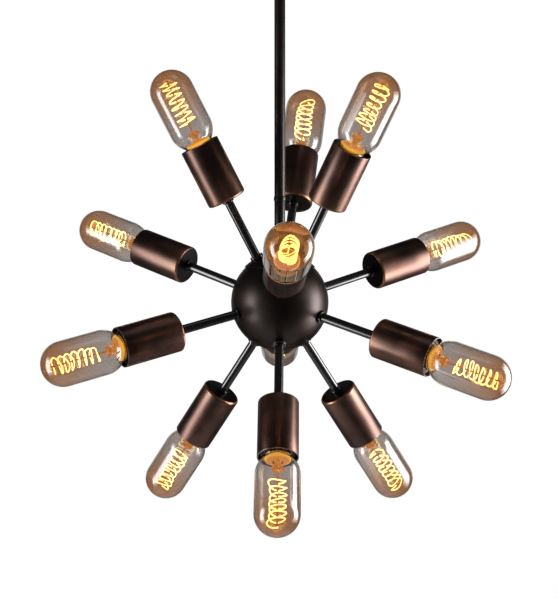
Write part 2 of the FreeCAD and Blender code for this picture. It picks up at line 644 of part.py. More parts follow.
def filament_wire(low):
    """One unbroken wire: a leg out from the centre rod, the turns of the coil, and a leg back."""
    outward = Vector(1, 0, 0)
    leg = COIL_DIAMETER / 2 - COIL_LEG_BEND_RADIUS
    lead_in = math.asin(COIL_LEG_BEND_RADIUS / (COIL_DIAMETER / 2)) / (2 * math.pi)
    last = COIL_TURNS - lead_in
    high = low + COIL_PITCH * COIL_TURNS
    knots = [(outward * leg + Vector(0, 0, low), outward), coil_point(lead_in, low)]
    knots += [coil_point(quarter / 4, low) for quarter in range(1, 4 * COIL_TURNS)]
    knots += [coil_point(last, low), (outward * leg + Vector(0, 0, high), -outward)]
    edges = [Part.LineSegment(Vector(0, 0, low), knots[0][0]).toShape()]
    for (start, start_tangent), (end, end_tangent) in zip(knots, knots[1:]):
        edges += biarc(start, start_tangent, end, end_tangent)
    edges.append(Part.LineSegment(knots[-1][0], Vector(0, 0, high)).toShape())
    section = Part.Wire(Part.makeCircle(WIRE_DIAMETER / 2, Vector(0, 0, low), outward))
    return Part.Wire(edges).makePipeShell([section], True)


def coil_self_gap():
    """Least clear distance between one turn of the filament and the next, measured on points."""
    steps_per_turn = 36
    points = [coil_point(step / steps_per_turn, 0)[0] for step in range(steps_per_turn * COIL_TURNS + 1)]
    apart = steps_per_turn // 2
    return min(
        (points[i] - points[j]).Length for i in range(len(points)) for j in range(i + apart, len(points))
    ) - WIRE_DIAMETER


def filament_mount():
    """Glass stem that closes the neck, with its centre rod and the wound filament fused to it."""
    flare = GLASS_NECK_DIAMETER / 2 - GLASS_WALL - PIECE_FIT
    stem = MOUNT_STEM_DIAMETER / 2
    support = MOUNT_ROD_DIAMETER / 2
    stem_top = NECK_SEAT + MOUNT_FLARE_HEIGHT + MOUNT_STEM_HEIGHT
    coil_low = stem_top + COIL_ABOVE_STEM
    rod_top = coil_low + COIL_TURNS * COIL_PITCH + ROD_ABOVE_COIL
    mount = lathe(
        (0, NECK_SEAT),
        (flare, NECK_SEAT),
        (stem, NECK_SEAT + MOUNT_FLARE_HEIGHT),
        (stem, stem_top),
        (support, stem_top),
        (support, rod_top),
        (0, rod_top),
    )
    return mount.fuse(filament_wire(coil_low))


# ---------------------------------------------------------------- the whole lamp
def all_pieces():
    """Every node's name with its shape."""
    pieces = {
        "ceiling_crossbar": crossbar(),
        "canopy": canopy(),
        "canopy_screws": canopy_screws(),
        "canopy_knobs": canopy_knobs(),
        "hanging_nipple": nipple(),
        "nipple_lock_nut": nipple_nut(),
        "swivel_yoke": yoke(),
        "swivel_pin": swivel_pin(),
        "swivel_knuckle": knuckle(),
        "upper_stem": upper_stem(),
        "stem_coupling": stem_coupling(),
        "lower_stem": lower_stem(),
        "hub_lid": lid(),
        "hub_ball": ball(),
        "hub_strap": strap(),
        "stem_lock_nut": stem_nut(),
        "arm_rods": on_every_arm(arm_rod),
        "hub_collars": on_every_arm(hub_collar),
        "arm_lock_nuts": on_every_arm(arm_nut),
        "cup_collars": on_every_arm(cup_collar),
        "lamp_cups": on_every_arm(cup),
        "lamp_holders": on_every_arm(holder),
        "screw_shells": on_every_arm(screw_shell),
        "centre_contacts": on_every_arm(contact),
    }
    bulb_pieces = {"bulb_glass": glass(), "bulb_base": base(), "bulb_filament": filament_mount()}
    for number, aim in enumerate(TOP_AIMS + UPPER_AIMS + LOWER_AIMS + BOTTOM_AIMS, start=1):
        for name, shape in bulb_pieces.items():
            pieces[f"{name}_{number:02d}"] = aimed(shape, aim)
    return pieces


print(f"least gap between the filament's turns: {coil_self_gap():.2f} mm")
os.makedirs("parts", exist_ok=True)
for node, shape in all_pieces().items():
    shape.exportStep(f"parts/{node}.step")
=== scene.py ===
"""Looks of a hanging lamp with twelve bulbs: its visible pieces, their finishes, the studio and the camera.

Lengths are in metres. What repeats on every arm is modelled once along +Z, with heights measured from the
middle of the ball, and is then swung to each arm's place, which is written into its mesh.
"""

import json
import logging
import math
from dataclasses import dataclass, field, replace
from enum import Enum
from typing import Optional, Sequence, Union

import bmesh
import bpy
from mathutils import Matrix, Vector, noise


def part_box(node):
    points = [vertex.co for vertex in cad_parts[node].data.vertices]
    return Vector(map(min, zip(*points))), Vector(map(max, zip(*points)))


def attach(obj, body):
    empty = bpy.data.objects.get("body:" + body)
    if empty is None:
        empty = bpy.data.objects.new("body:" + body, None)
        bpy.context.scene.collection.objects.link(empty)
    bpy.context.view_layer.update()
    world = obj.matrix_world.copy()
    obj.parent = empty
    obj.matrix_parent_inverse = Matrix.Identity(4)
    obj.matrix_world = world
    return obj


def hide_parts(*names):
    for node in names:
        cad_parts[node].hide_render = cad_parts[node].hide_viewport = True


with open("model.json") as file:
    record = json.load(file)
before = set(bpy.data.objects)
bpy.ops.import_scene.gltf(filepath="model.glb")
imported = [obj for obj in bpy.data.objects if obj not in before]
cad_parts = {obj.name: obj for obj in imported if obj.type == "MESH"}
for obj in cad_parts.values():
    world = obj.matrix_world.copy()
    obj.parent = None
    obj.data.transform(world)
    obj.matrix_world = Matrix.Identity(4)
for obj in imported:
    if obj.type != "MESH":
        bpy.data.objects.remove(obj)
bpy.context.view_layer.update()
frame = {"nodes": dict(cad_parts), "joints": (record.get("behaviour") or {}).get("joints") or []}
LOG = logging.getLogger("lamp")
BALL_RADIUS = 0.0508
LID_RADIUS = 0.0521
BALL_CENTRE = Vector((0, 0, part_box("hub_ball")[0].z + BALL_RADIUS))

Colour = tuple[float, float, float]
Point = tuple[float, float]
WHITE: Colour = (1.0, 1.0, 1.0)
Value = Union["Signal", float, Sequence[float]]


class Body(Enum):
    """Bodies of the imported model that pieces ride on; each bulb has one more, by its number."""

    CEILING = "ceiling_mount"
    SWIVEL = "swivel"
    LAMP = "lamp_frame"


class Slot(Enum):
    """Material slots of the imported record."""

    BRONZE = "bronze"
    BLACK = "black_gloss"
    ZINC = "zinc_steel"
    MOULDING = "black_moulding"
    BRASS = "brass"
    GLASS = "smoked_glass"
    CAP = "bulb_cap"
    FILAMENT = "filament"


@dataclass(frozen=True)
class Pattern:
    """Noise with cells of a set size, if asked with its axes stretched and its values spread out."""

    scale: float
    detail: float = 2.0
    spread: Optional[tuple[float, float]] = None
    stretch: Optional[tuple[float, float, float]] = None


# ------------------------------------------------------------------------------------------ shaders
class Signal:
    """A shader socket that can be used in Python sums; each operator adds one Math node."""

    def __init__(self, surface: "Surface", socket: bpy.types.NodeSocket) -> None:
        """Wraps an output socket.

        Args:
            surface: The surface whose node tree holds the socket.
            socket: The output socket.
        """
        self.surface = surface
        self.socket = socket

    def _math(self, operation: str, left: Value, right: Value) -> "Signal":
        """Adds a Math node.

        Args:
            operation: The node's operation.
            left: Its first operand.
            right: Its second operand.

        Returns:
            The node's value.
        """
        return self.surface.add("ShaderNodeMath", {0: left, 1: right}, operation=operation)

    def __add__(self, other: Value) -> "Signal":
        """Sum of two values."""
        return self._math("ADD", self, other)

    def __radd__(self, other: Value) -> "Signal":
        """Sum with a number on the left."""
        return self._math("ADD", other, self)

    def __sub__(self, other: Value) -> "Signal":
        """Difference of two values."""
        return self._math("SUBTRACT", self, other)

    def __rsub__(self, other: Value) -> "Signal":
        """Difference with a number on the left."""
        return self._math("SUBTRACT", other, self)

    def __mul__(self, other: Value) -> "Signal":
        """Product of two values."""
        return self._math("MULTIPLY", self, other)

    def __rmul__(self, other: Value) -> "Signal":
        """Product with a number on the left."""
        return self._math("MULTIPLY", other, self)

    def __pow__(self, other: Value) -> "Signal":
        """Power of a value."""
        return self._math("POWER", self, other)

    def maximum(self, other: Value) -> "Signal":
        """Larger of two values."""
        return self._math("MAXIMUM", self, other)

    def between(self, low: float, high: float) -> "Signal":
        """Remaps the value so that low gives 0 and high gives 1, held to that range.

        Args:
            low: The value that gives 0.
            high: The value that gives 1.

        Returns:
            The remapped value.
        """
        inputs = {"Value": self, "From Min": low, "From Max": high}
        return self.surface.add("ShaderNodeMapRange", inputs, clamp=True)


class Surface:
    """A node-based material or world under construction."""

    MIX_AMOUNT, MIX_FIRST, MIX_SECOND, MIX_COLOUR = 0, 6, 7, 2  # the Mix node's sockets for colours
    NOISE_ROUGHNESS = 0.55
    def __init__(self, holder: Union[bpy.types.Material, bpy.types.World]) -> None:
        """Empties the node tree of a material or world.

        Args:
            holder: The material or world.
        """
        holder.use_nodes = True
        self.holder = holder
        self.tree = holder.node_tree
        self.tree.nodes.clear()

    @classmethod
    def material(cls, name: str) -> "Surface":
        """Starts a new material."""
        return cls(bpy.data.materials.new(name))

    def add(self, kind: str, inputs: dict, output: Union[int, str] = 0, **settings: object) -> Signal:
        """Adds any node.

        Args:
            kind: The node's type.
            inputs: Values or signals by socket name or number.
            output: The name or number of the output to return.
            **settings: Node properties, set before the sockets.

        Returns:
            The chosen output.
        """
        node = self.tree.nodes.new(kind)
        for key, value in settings.items():
            setattr(node, key, value)
        for key, value in inputs.items():
            socket = node.inputs[key]
            if isinstance(value, Signal):
                self.tree.links.new(value.socket, socket)
            elif isinstance(value, tuple) and len(value) == 3 and len(socket.default_value) == 4:
                socket.default_value = (*value, 1.0)
            else:
                socket.default_value = value
        return Signal(self, node.outputs[output] if node.outputs else None)

    def place(self) -> Signal:
        """Object coordinates."""
        return self.add("ShaderNodeTexCoord", {}, output="Object")

    def arm_place(self) -> Signal:
        """The piece's coordinates before it was swung to its arm."""
        return self.add("ShaderNodeAttribute", {}, output="Vector", attribute_name="arm_place")

    def along(self, place: Signal, axis: str = "Z") -> Signal:
        """One coordinate of a place."""
        return self.add("ShaderNodeSeparateXYZ", {0: place}, output=axis)

    def across(self, place: Signal) -> Signal:
        """Distance of a place from the Z axis."""
        flat = self.add("ShaderNodeVectorMath", {0: place, 1: (1.0, 1.0, 0.0)}, operation="MULTIPLY")
        return self.add("ShaderNodeVectorMath", {0: flat}, output="Value", operation="LENGTH")

    def pattern(self, place: Signal, pattern: Pattern) -> Signal:
        """Reads a noise pattern.

        Args:
            place: Where it is read.
            pattern: Its cells, stretch and spread.

        Returns:
            The pattern's values, from 0 to 1.
        """
        if pattern.stretch:
            place = self.add("ShaderNodeMapping", {"Vector": place, "Scale": pattern.stretch})
        inputs = {"Vector": place, "Scale": pattern.scale, "Detail": pattern.detail}
        inputs["Roughness"] = self.NOISE_ROUGHNESS
        value = self.add("ShaderNodeTexNoise", inputs, output="Fac")
        return value.between(*pattern.spread) if pattern.spread else value

    def blend(self, amount: Value, first: Value, second: Value) -> Signal:
        """Mix of two colours.

        Args:
            amount: 0 for the first colour and 1 for the second.
            first: A colour.
            second: A colour.

        Returns:
            The mixed colour.
        """
        inputs = {self.MIX_AMOUNT: amount, self.MIX_FIRST: first, self.MIX_SECOND: second}
        return self.add("ShaderNodeMix", inputs, output=self.MIX_COLOUR, data_type="RGBA")

    def bump(self, height: Signal, distance: float, strength: float = 1.0) -> Signal:
        """Normal bent by a height.

        Args:
            height: The height, from 0 to 1.
            distance: The depth in metres of a height of 1.
            strength: The effect's strength.

        Returns:
            The bent normal.
        """
        return self.add("ShaderNodeBump", {"Height": height, "Distance": distance, "Strength": strength})

    def principled(self, **inputs: Value) -> Signal:
        """Principled shader, its sockets named with underscores for spaces."""
        named = {key.replace("_", " "): value for key, value in inputs.items()}
        return self.add("ShaderNodeBsdfPrincipled", named)

    def finish(self, shader: Signal, volume: Optional[Signal] = None) -> bpy.types.Material:
        """Joins the last shader, and a volume if there is one, to the output.

        Args:
            shader: The surface shader.
            volume: The volume shader inside it.

        Returns:
            The finished material or world.
        """
        world = isinstance(self.holder, bpy.types.World)
        kind = "ShaderNodeOutputWorld" if world else "ShaderNodeOutputMaterial"
        inputs = {"Surface": shader}
        if volume:
            inputs["Volume"] = volume
        self.add(kind, inputs)
        return self.holder


# ------------------------------------------------------------------------------------------ finishes
@dataclass(frozen=True)
class RubbedBronze:
    """Dark bronze, rubbed until it clouds warm and bares copper along a worn edge and in fine scratches."""

    name: str
    dark: Colour = (0.078, 0.041, 0.033)
    warm: Colour = (0.200, 0.092, 0.068)
    copper: Colour = (0.86, 0.36, 0.17)
    black: Colour = (0.020, 0.017, 0.016)
    sheen: Colour = (0.25, 0.22, 0.21)
    roughness: float = 0.36
    coat: float = 0.6
    coat_roughness: float = 0.30
    scratch: float = 0.12
    mouth: Colour = (0.40, 0.33, 0.31)
    tan: Colour = (0.66, 0.36, 0.23)
    tan_share: float = 0.0
    tan_band: float = 0.020
    edge_height: float = 0.0
    edge_radius: float = 0.0
    edge_spread: float = 0.0009
    mouth_height: float = 0.0
    mouth_spread: float = 0.0005
    grain_depth: float = 0.00002
    clouds: Pattern = Pattern(34.0, 3.0, (0.36, 0.70))
    grain: Pattern = Pattern(1100.0)
    scratches: Pattern = Pattern(1.0, 2.0, (0.64, 0.82), (1400.0, 1400.0, 90.0))
    patches: Pattern = Pattern(240.0, 3.0, (0.30, 0.55))

    def worn(self, s: Surface, own: Signal, colour: Signal, clouds: Signal, patches: Signal) -> Signal:
        """Wears a cup's colour: tan along its side, copper round its back corner, and a pale mouth.

        Args:
            s: The surface under construction.
            own: The cup's own coordinates.
            colour: Its colour before the wear.
            clouds: The clouds that the tan follows.
            patches: Where the copper shows.

        Returns:
            The worn colour. The flat back inside the corner is black.
        """
        height, across = s.along(own), s.across(own)
        spread = self.edge_spread
        rubbed = height.between(self.mouth_height - self.tan_band, self.edge_height) ** 1.6 * self.tan_share
        colour = s.blend(rubbed * (0.55 + clouds * 0.45), colour, self.tan)
        inside = across.between(self.edge_radius, self.edge_radius - spread)
        near = height.between(self.edge_height + 3 * spread, self.edge_height + 1.4 * spread)
        colour = s.blend(inside * near, colour, self.black)
        colour = s.blend((1.0 - inside) * near * patches * 0.6, colour, self.copper)
        lip = height.between(self.mouth_height - self.mouth_spread, self.mouth_height)
        return s.blend(lip, colour, self.mouth)

    def build(self) -> bpy.types.Material:
        """Builds the material.

        Returns:
            The material, worn where an edge height is given.
        """
        s = Surface.material(self.name)
        place, own = s.place(), s.arm_place()
        clouds, grain = s.pattern(place, self.clouds), s.pattern(place, self.grain)
        colour = s.blend(clouds * 0.8 + (grain - 0.5) * 0.5, self.dark, self.warm)
        colour = s.blend(s.pattern(own, self.scratches) * self.scratch, colour, self.copper)
        if self.edge_height:
            colour = self.worn(s, own, colour, clouds, s.pattern(place, self.patches))
        shader = s.principled(
            Base_Color=colour,
            Metallic=1.0,
            Roughness=self.roughness + (clouds - 0.5) * 0.08 + (grain - 0.5) * 0.14,
            Specular_Tint=self.sheen,
            Coat_Weight=self.coat,
            Coat_Roughness=self.coat_roughness,
            Normal=s.bump(grain, self.grain_depth, 0.6),
        )
        return s.finish(shader)


@dataclass(frozen=True)
class BlackEnamel:
    """Black-brown enamel with slight orange peel and fine dust."""

    name: str = "black_enamel"
    colour: Colour = (0.010, 0.0075, 0.0075)
    dust: Colour = (0.030, 0.026, 0.025)
    roughness: float = 0.17
    coat: float = 0.7
    gloss: float = 0.9
    coat_roughness: float = 0.10
    peel_depth: float = 0.00003
    peel: Pattern = Pattern(420.0)
    clouds: Pattern = Pattern(60.0, 3.0, (0.4, 0.8))
    specks: Pattern = Pattern(1500.0, 1.0, (0.70, 0.78))

    def build(self) -> bpy.types.Material:
        """Builds the material.

        Returns:
            The material.
        """
        s = Surface.material(self.name)
        place = s.place()
        clouds, specks = s.pattern(place, self.clouds), s.pattern(place, self.specks)
        shader = s.principled(
            Base_Color=s.blend(clouds * 0.5 + specks * 0.5, self.colour, self.dust),
            Roughness=self.roughness + clouds * 0.08,
            Specular_IOR_Level=self.gloss,
            Coat_Weight=self.coat,
            Coat_Roughness=self.coat_roughness,
            Normal=s.bump(s.pattern(place, self.peel), self.peel_depth, 0.5),
        )
        return s.finish(shader)


@dataclass(frozen=True)
class HardwareSkin:
    """Skin of small parts: clouded between two colours, and finely grained."""

    name: str
    base: Colour
    clouded: Colour
    clouds: Pattern
    grain: Pattern
    roughness: float
    cloud_roughness: float = 0.0
    grain_roughness: float = 0.0
    metallic: float = 1.0
    grain_depth: float = 0.00002
    grain_strength: float = 0.5

    def build(self) -> bpy.types.Material:
        """Builds the material.

        Returns:
            The material.
        """
        s = Surface.material(self.name)
        place = s.place()
        clouds, grain = s.pattern(place, self.clouds), s.pattern(place, self.grain)
        rough = self.roughness + clouds * self.cloud_roughness + (grain - 0.5) * self.grain_roughness
        shader = s.principled(
            Base_Color=s.blend(clouds, self.base, self.clouded),
            Metallic=self.metallic,
            Roughness=rough,
            Normal=s.bump(grain, self.grain_depth, self.grain_strength),
        )
        return s.finish(shader)


# zinc-plated steel with a cloudy spangle, for hardware that hardly shows
PLATED_STEEL = HardwareSkin(
    "plated_steel", (0.42, 0.43, 0.44), (0.62, 0.62, 0.60), Pattern(240.0, 3.0, (0.35, 0.68)),
    Pattern(1400.0), roughness=0.30, cloud_roughness=0.14)
# black moulded plastic with a spark-eroded grain, greyer where it has rubbed
BLACK_MOULDING = HardwareSkin(
    "black_moulding", (0.012, 0.011, 0.011), (0.035, 0.032, 0.030), Pattern(90.0, 3.0, (0.45, 0.75)),
    Pattern(1800.0), roughness=0.42, grain_roughness=0.2, metallic=0.0, grain_depth=0.00004,
    grain_strength=0.6)
# thin rolled brass of the screw shells, and nickel of the bulbs' caps, both a little tarnished
SHELL_BRASS = HardwareSkin(
    "shell_brass", (0.80, 0.55, 0.22), (0.45, 0.28, 0.11), Pattern(180.0, 4.0, (0.40, 0.72)), Pattern(1600.0),
    roughness=0.22, cloud_roughness=0.2, grain_depth=0.000015)
CAP_NICKEL = replace(SHELL_BRASS, name="cap_nickel", base=(0.78, 0.70, 0.56), clouded=(0.55, 0.47, 0.36))


@dataclass(frozen=True)
class SmokedGlass:
    """Smoke-tinted glass: grey at the neck and browner at the dome, with painted shade where it is seen
    edge-on and faint painted light from the filament.
    """

    name: str = "smoked_glass"
    neck_tint: Colour = (0.60, 0.585, 0.575)
    dome_tint: Colour = (0.50, 0.34, 0.225)
    # painted shade: darkens the glass where it is seen edge-on
    painted_edge_shade: Colour = (0.20, 0.15, 0.125)
    painted_edge_facing: tuple[float, float] = (0.50, 0.92)
    depth_tint: Colour = (0.55, 0.50, 0.465)
    density: float = 400.0
    # painted light: faint emission, warmer towards the dome, standing in for the filament's light caught in
    # the glass
    painted_neck_glow: Colour = (0.10, 0.03, 0.006)
    painted_glow: Colour = (1.0, 0.36, 0.07)
    painted_glow_strength: float = 0.045
    tint_from: float = 0.200
    tint_to: float = 0.264
    tint_drift: float = 0.03
    ripple_depth: float = 0.0001
    clouds: Pattern = Pattern(30.0)
    ripple: Pattern = Pattern(34.0, 1.0, stretch=(1.0, 1.0, 0.25))

    def build(self) -> bpy.types.Material:
        """Builds the material.

        Returns:
            The material.
        """
        s = Surface.material(self.name)
        place = s.arm_place()
        height = s.along(place) + (s.pattern(s.place(), self.clouds) - 0.5) * self.tint_drift
        rise = height.between(self.tint_from, self.tint_to)
        facing = s.add("ShaderNodeLayerWeight", {"Blend": 0.5}, output="Facing")
        body = s.blend(rise, self.neck_tint, self.dome_tint)
        shader = s.principled(
            # painted shade where the glass is seen edge-on
            Base_Color=s.blend(facing.between(*self.painted_edge_facing), body, self.painted_edge_shade),
            Transmission_Weight=1.0,
            Roughness=0.0,
            IOR=1.5,
            Coat_Weight=1.0,
            Coat_Roughness=0.0,
            # painted light from the filament, caught in the envelope
            Emission_Color=s.blend(rise, self.painted_neck_glow, self.painted_glow),
            Emission_Strength=self.painted_glow_strength,
            Normal=s.bump(s.pattern(place, self.ripple), self.ripple_depth, 0.01),
        )
        depth = s.add("ShaderNodeVolumeAbsorption", {"Color": self.depth_tint, "Density": self.density})
        return s.finish(shader, depth)


@dataclass(frozen=True)
class StemGlassPaintedLight:
    """Clear glass of the stem inside a bulb, with painted light standing in for the filament's light on it:
    an orange colour and orange emission, strongest at the neck, streaked round its dish, with a brighter rim.
    """

    name: str = "stem_glass_painted_light"
    # painted light: the colours below stand in for the filament's light on clear glass
    painted_light_dim: Colour = (0.25, 0.13, 0.05)
    warm: Colour = (0.45, 0.22, 0.06)
    unlit: Colour = (0.0, 0.0, 0.0)
    painted_glow: Colour = (1.0, 0.34, 0.03)
    rim: Colour = (1.0, 0.52, 0.07)
    rim_radius: float = 0.0131
    rim_width: float = 0.0026
    painted_glow_strength: float = 2.2
    painted_glow_from: float = 0.222
    painted_glow_to: float = 0.178
    ribs: int = 26
    painted_light_streaks: Pattern = Pattern(1.0, stretch=(500.0, 500.0, 25.0))

    def build(self) -> bpy.types.Material:
        """Builds the material.

        Returns:
            The material.
        """
        s = Surface.material(self.name)
        place = s.arm_place()
        lit = s.along(place).between(self.painted_glow_from, self.painted_glow_to)
        turn = s.add("ShaderNodeTexGradient", {"Vector": place}, output="Fac", gradient_type="RADIAL")
        ribs = s.add("ShaderNodeMath", {0: turn * (2 * math.pi * self.ribs)}, operation="SINE")
        # painted light: ribs and fine lines of orange emission, strongest at the neck, and a brighter rim of
        # it at the dish's edge
        painted_light_streaks = s.pattern(place, self.painted_light_streaks) * 0.35 + ribs * 0.26 + 0.3
        amount = (lit ** 1.6) * (0.25 + painted_light_streaks * 0.75)
        painted_rim_light = s.across(place).between(self.rim_radius - self.rim_width, self.rim_radius)
        shader = s.principled(
            Base_Color=s.blend(painted_light_streaks, self.painted_light_dim, self.warm),
            Roughness=0.12 + painted_light_streaks * 0.1,
            Emission_Color=s.blend(painted_rim_light, s.blend(amount, self.unlit, self.painted_glow), self.rim),
            Emission_Strength=self.painted_glow_strength,
        )
        return s.finish(shader)


@dataclass(frozen=True)
class GlowingWire:
    """Filament wire at working heat: yellow-white in the middle of its coil and more orange at the ends."""

    low: float
    high: float
    name: str = "glowing_wire"
    metal: Colour = (0.1, 0.08, 0.06)
    hot: Colour = (1.0, 0.62, 0.20)
    cooler: Colour = (1.0, 0.44, 0.08)
    strength: float = 11.0
    fade: float = 0.012
    flicker: Pattern = Pattern(300.0)

    def build(self) -> bpy.types.Material:
        """Builds the material.

        Returns:
            The material.
        """
        s = Surface.material(self.name)
        height, fade = s.along(s.arm_place()), self.fade
        heat = height.between(self.low - fade, self.low + fade)
        heat = heat * height.between(self.high + fade, self.high - fade)
        flicker = s.pattern(s.place(), self.flicker)
        shader = s.principled(
            Base_Color=self.metal,
            Roughness=0.5,
            Emission_Color=s.blend(heat * (0.75 + flicker * 0.5), self.cooler, self.hot),
            Emission_Strength=self.strength,
        )
        return s.finish(shader)


# ------------------------------------------------------------------------------------------ forms
def arc(centre: Point, radius: float, start: float, end: float, steps: int) -> list[Point]:
    """Points of an arc in an outline.

    Args:
        centre: Its centre as (radius, height).
        radius: Its radius.
        start: Its first angle in degrees, from the outward direction.
        end: Its last angle in degrees.
        steps: How many parts it has.

    Returns:
        The points, both ends included.
    """
    angles = [math.radians(start + (end - start) * k / steps) for k in range(steps + 1)]
    return [(centre[0] + radius * math.cos(a), centre[1] + radius * math.sin(a)) for a in angles]


class Form:
    """A mesh under construction."""

    SHARP = math.radians(32)
    MERGE = 1e-7
    NODE_MERGE = 1e-6

    def __init__(self) -> None:
        """Starts empty."""
        self.bm = bmesh.new()

    def spin(self, geom: list, steps: int, turns: float = 1.0, rise: float = 0.0) -> None:
        """Spins points and edges about Z.

        Args:
            geom: The points and edges.
            steps: Steps in all.
            turns: How many turns they take.
            rise: Rise of each step; without it the last step closes on the first.
        """
        bmesh.ops.spin(self.bm, geom=geom, cent=(0, 0, 0), axis=(0, 0, 1), dvec=(0, 0, rise),
                       angle=2 * math.pi * turns, steps=steps, use_merge=rise == 0.0, use_duplicate=False)

    @classmethod
    def turned(cls, outline: Sequence[Point], segments: int = 64) -> "Form":
        """Turns an outline about Z.

        Args:
            outline: Its points as (radius, height), a closed round in which the axis counts as an edge.
            segments: Steps round the axis.

        Returns:
            The form.
        """
        form = cls()
        verts = [form.bm.verts.new((0.0 if r < cls.MERGE else r, 0, z)) for r, z in outline]
        pairs = zip(verts, verts[1:] + verts[:1])
        edges = [form.bm.edges.new(pair) for pair in pairs if pair[0].co.x > 0 or pair[1].co.x > 0]
        form.spin(verts + edges, segments)
        return form.mended()

    @classmethod
    def coiled(cls, radius: float, wire: float, low: float, pitch: float, turns: float, steps: int) -> "Form":
        """Round wire wound about Z.

        Args:
            radius: The coil's radius to the middle of the wire.
            wire: The wire's diameter.
            low: Height of the coil's start.
            pitch: Rise of each turn.
            turns: How many turns.
            steps: Steps in each turn.

        Returns:
            The form, with closed ends.
        """
        form = cls()
        place = Matrix.Translation((radius, 0, low)) @ Matrix.Rotation(math.pi / 2, 4, "X")
        ring = bmesh.ops.create_circle(form.bm, cap_ends=False, radius=wire / 2, segments=8, matrix=place)
        verts = ring["verts"]
        edges = list({edge for vert in verts for edge in vert.link_edges})
        form.spin(verts + edges, round(turns * steps), turns, pitch / steps)
        return form.filled().mended()

    @classmethod
    def from_node(cls, node: str) -> "Form":
        """Copies a CAD node's mesh with its points merged, so that its round faces can be shaded smooth.

        Args:
            node: The node's name.

        Returns:
            The form.
        """
        form = cls()
        form.bm.from_mesh(frame["nodes"][node].data)
        for layer in list(form.bm.loops.layers.uv.values()):
            form.bm.loops.layers.uv.remove(layer)
        bmesh.ops.remove_doubles(form.bm, verts=form.bm.verts, dist=cls.NODE_MERGE)
        return form

    def filled(self) -> "Form":
        """Closes its open ends."""
        bmesh.ops.holes_fill(self.bm, edges=[edge for edge in self.bm.edges if edge.is_boundary], sides=0)
        return self

    def mended(self) -> "Form":
        """Merges doubled points and turns all faces outwards.

        Returns:
            The form itself.
        """
        bmesh.ops.remove_doubles(self.bm, verts=self.bm.verts, dist=self.MERGE)
        bmesh.ops.recalc_face_normals(self.bm, faces=self.bm.faces)
        return self

    def bar(self, start: Sequence[float], end: Sequence[float], radius: float, sides: int = 8) -> "Form":
        """Adds a round bar between two points.

        Args:
            start: Middle of one end.
            end: Middle of the other end.
            radius: Its radius.
            sides: Its sides.

        Returns:
            The form itself.
        """
        first, last = Vector(start), Vector(end)
        span = last - first
        place = Matrix.Translation((first + last) / 2) @ span.to_track_quat("Z", "Y").to_matrix().to_4x4()
        bmesh.ops.create_cone(self.bm, cap_ends=True, cap_tris=False, segments=sides, radius1=radius,
                              radius2=radius, depth=span.length, matrix=place)
        return self

    def bead(self, centre: Sequence[float], radius: float, stretch: float = 1.0) -> "Form":
        """Adds a small ball, stretched along Z.

        Args:
            centre: Its middle.
            radius: Its radius.
            stretch: Its height over its width.

        Returns:
            The form itself.
        """
        place = Matrix.Translation(centre) @ Matrix.Diagonal((1, 1, stretch, 1))
        bmesh.ops.create_uvsphere(self.bm, u_segments=12, v_segments=8, radius=radius, matrix=place)
        return self

    def joined(self, other: "Form") -> "Form":
        """Adds another form, which is used up.

        Args:
            other: The form to add.

        Returns:
            The form itself.
        """
        mesh = bpy.data.meshes.new("part")
        other.bm.to_mesh(mesh)
        other.bm.free()
        self.bm.from_mesh(mesh)
        bpy.data.meshes.remove(mesh)
        return self

    def cut_between(self, low: float, high: float) -> "Form":
        """Keeps what lies between two heights and closes the cuts.

        Args:
            low: The lower height.
            high: The upper height.

        Returns:
            The form itself.
        """
        for height, normal in ((low, (0, 0, -1)), (high, (0, 0, 1))):
            geom = self.bm.verts[:] + self.bm.edges[:] + self.bm.faces[:]
            bmesh.ops.bisect_plane(self.bm, geom=geom, dist=self.MERGE, plane_co=(0, 0, height),
                                   plane_no=normal, clear_outer=True)
            self.filled()
        return self.mended()

    def mesh(self, name: str, places: Sequence[Matrix]) -> bpy.types.Mesh:
        """Makes the mesh, once for each place, with smooth faces and sharp creases.

        Args:
            name: The mesh's name.
            places: Where copies of the form go.

        Returns:
            The mesh, whose arm_place attribute holds each point's place before it was swung there.
        """
        for face in self.bm.faces:
            face.smooth = True
        for edge in self.bm.edges:
            edge.smooth = edge.calc_face_angle(0.0) < self.SHARP
        own = bpy.data.meshes.new(name + "_own")
        self.bm.to_mesh(own)
        self.bm.free()
        flat = [0.0] * (3 * len(own.vertices))
        own.vertices.foreach_get("co", flat)
        own.attributes.new("arm_place", "FLOAT_VECTOR", "POINT").data.foreach_set("vector", flat)
        whole = bmesh.new()
        for place in places:
            copy = own.copy()
            copy.transform(place)
            whole.from_mesh(copy)
            bpy.data.meshes.remove(copy)
        bpy.data.meshes.remove(own)
        mesh = bpy.data.meshes.new(name)
        whole.to_mesh(mesh)
        whole.free()
        return mesh

    def piece(
        self,
        name: str,
        material: bpy.types.Material,
        body: str,
        slot: Slot,
        nodes: Sequence[str],
        places: Sequence[Matrix] = (Matrix.Identity(4),),
    ) -> bpy.types.Object:
        """Makes the finished piece, hangs it on its body and hides the CAD nodes that it stands for.

        Args:
            name: The piece's name.
            material: Its finish.
            body: The body that it rides on.
            slot: Not used.
            nodes: The CAD nodes that it stands for.
            places: Where copies of the form go.

        Returns:
            The piece.
        """
        obj = bpy.data.objects.new(name, self.mesh(name, places))
        obj.data.materials.append(material)
        bpy.context.scene.collection.objects.link(obj)
        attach(obj, body)
        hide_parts(*nodes)
        LOG.info("%s: %d faces on %s", name, len(obj.data.polygons), body)
        return obj


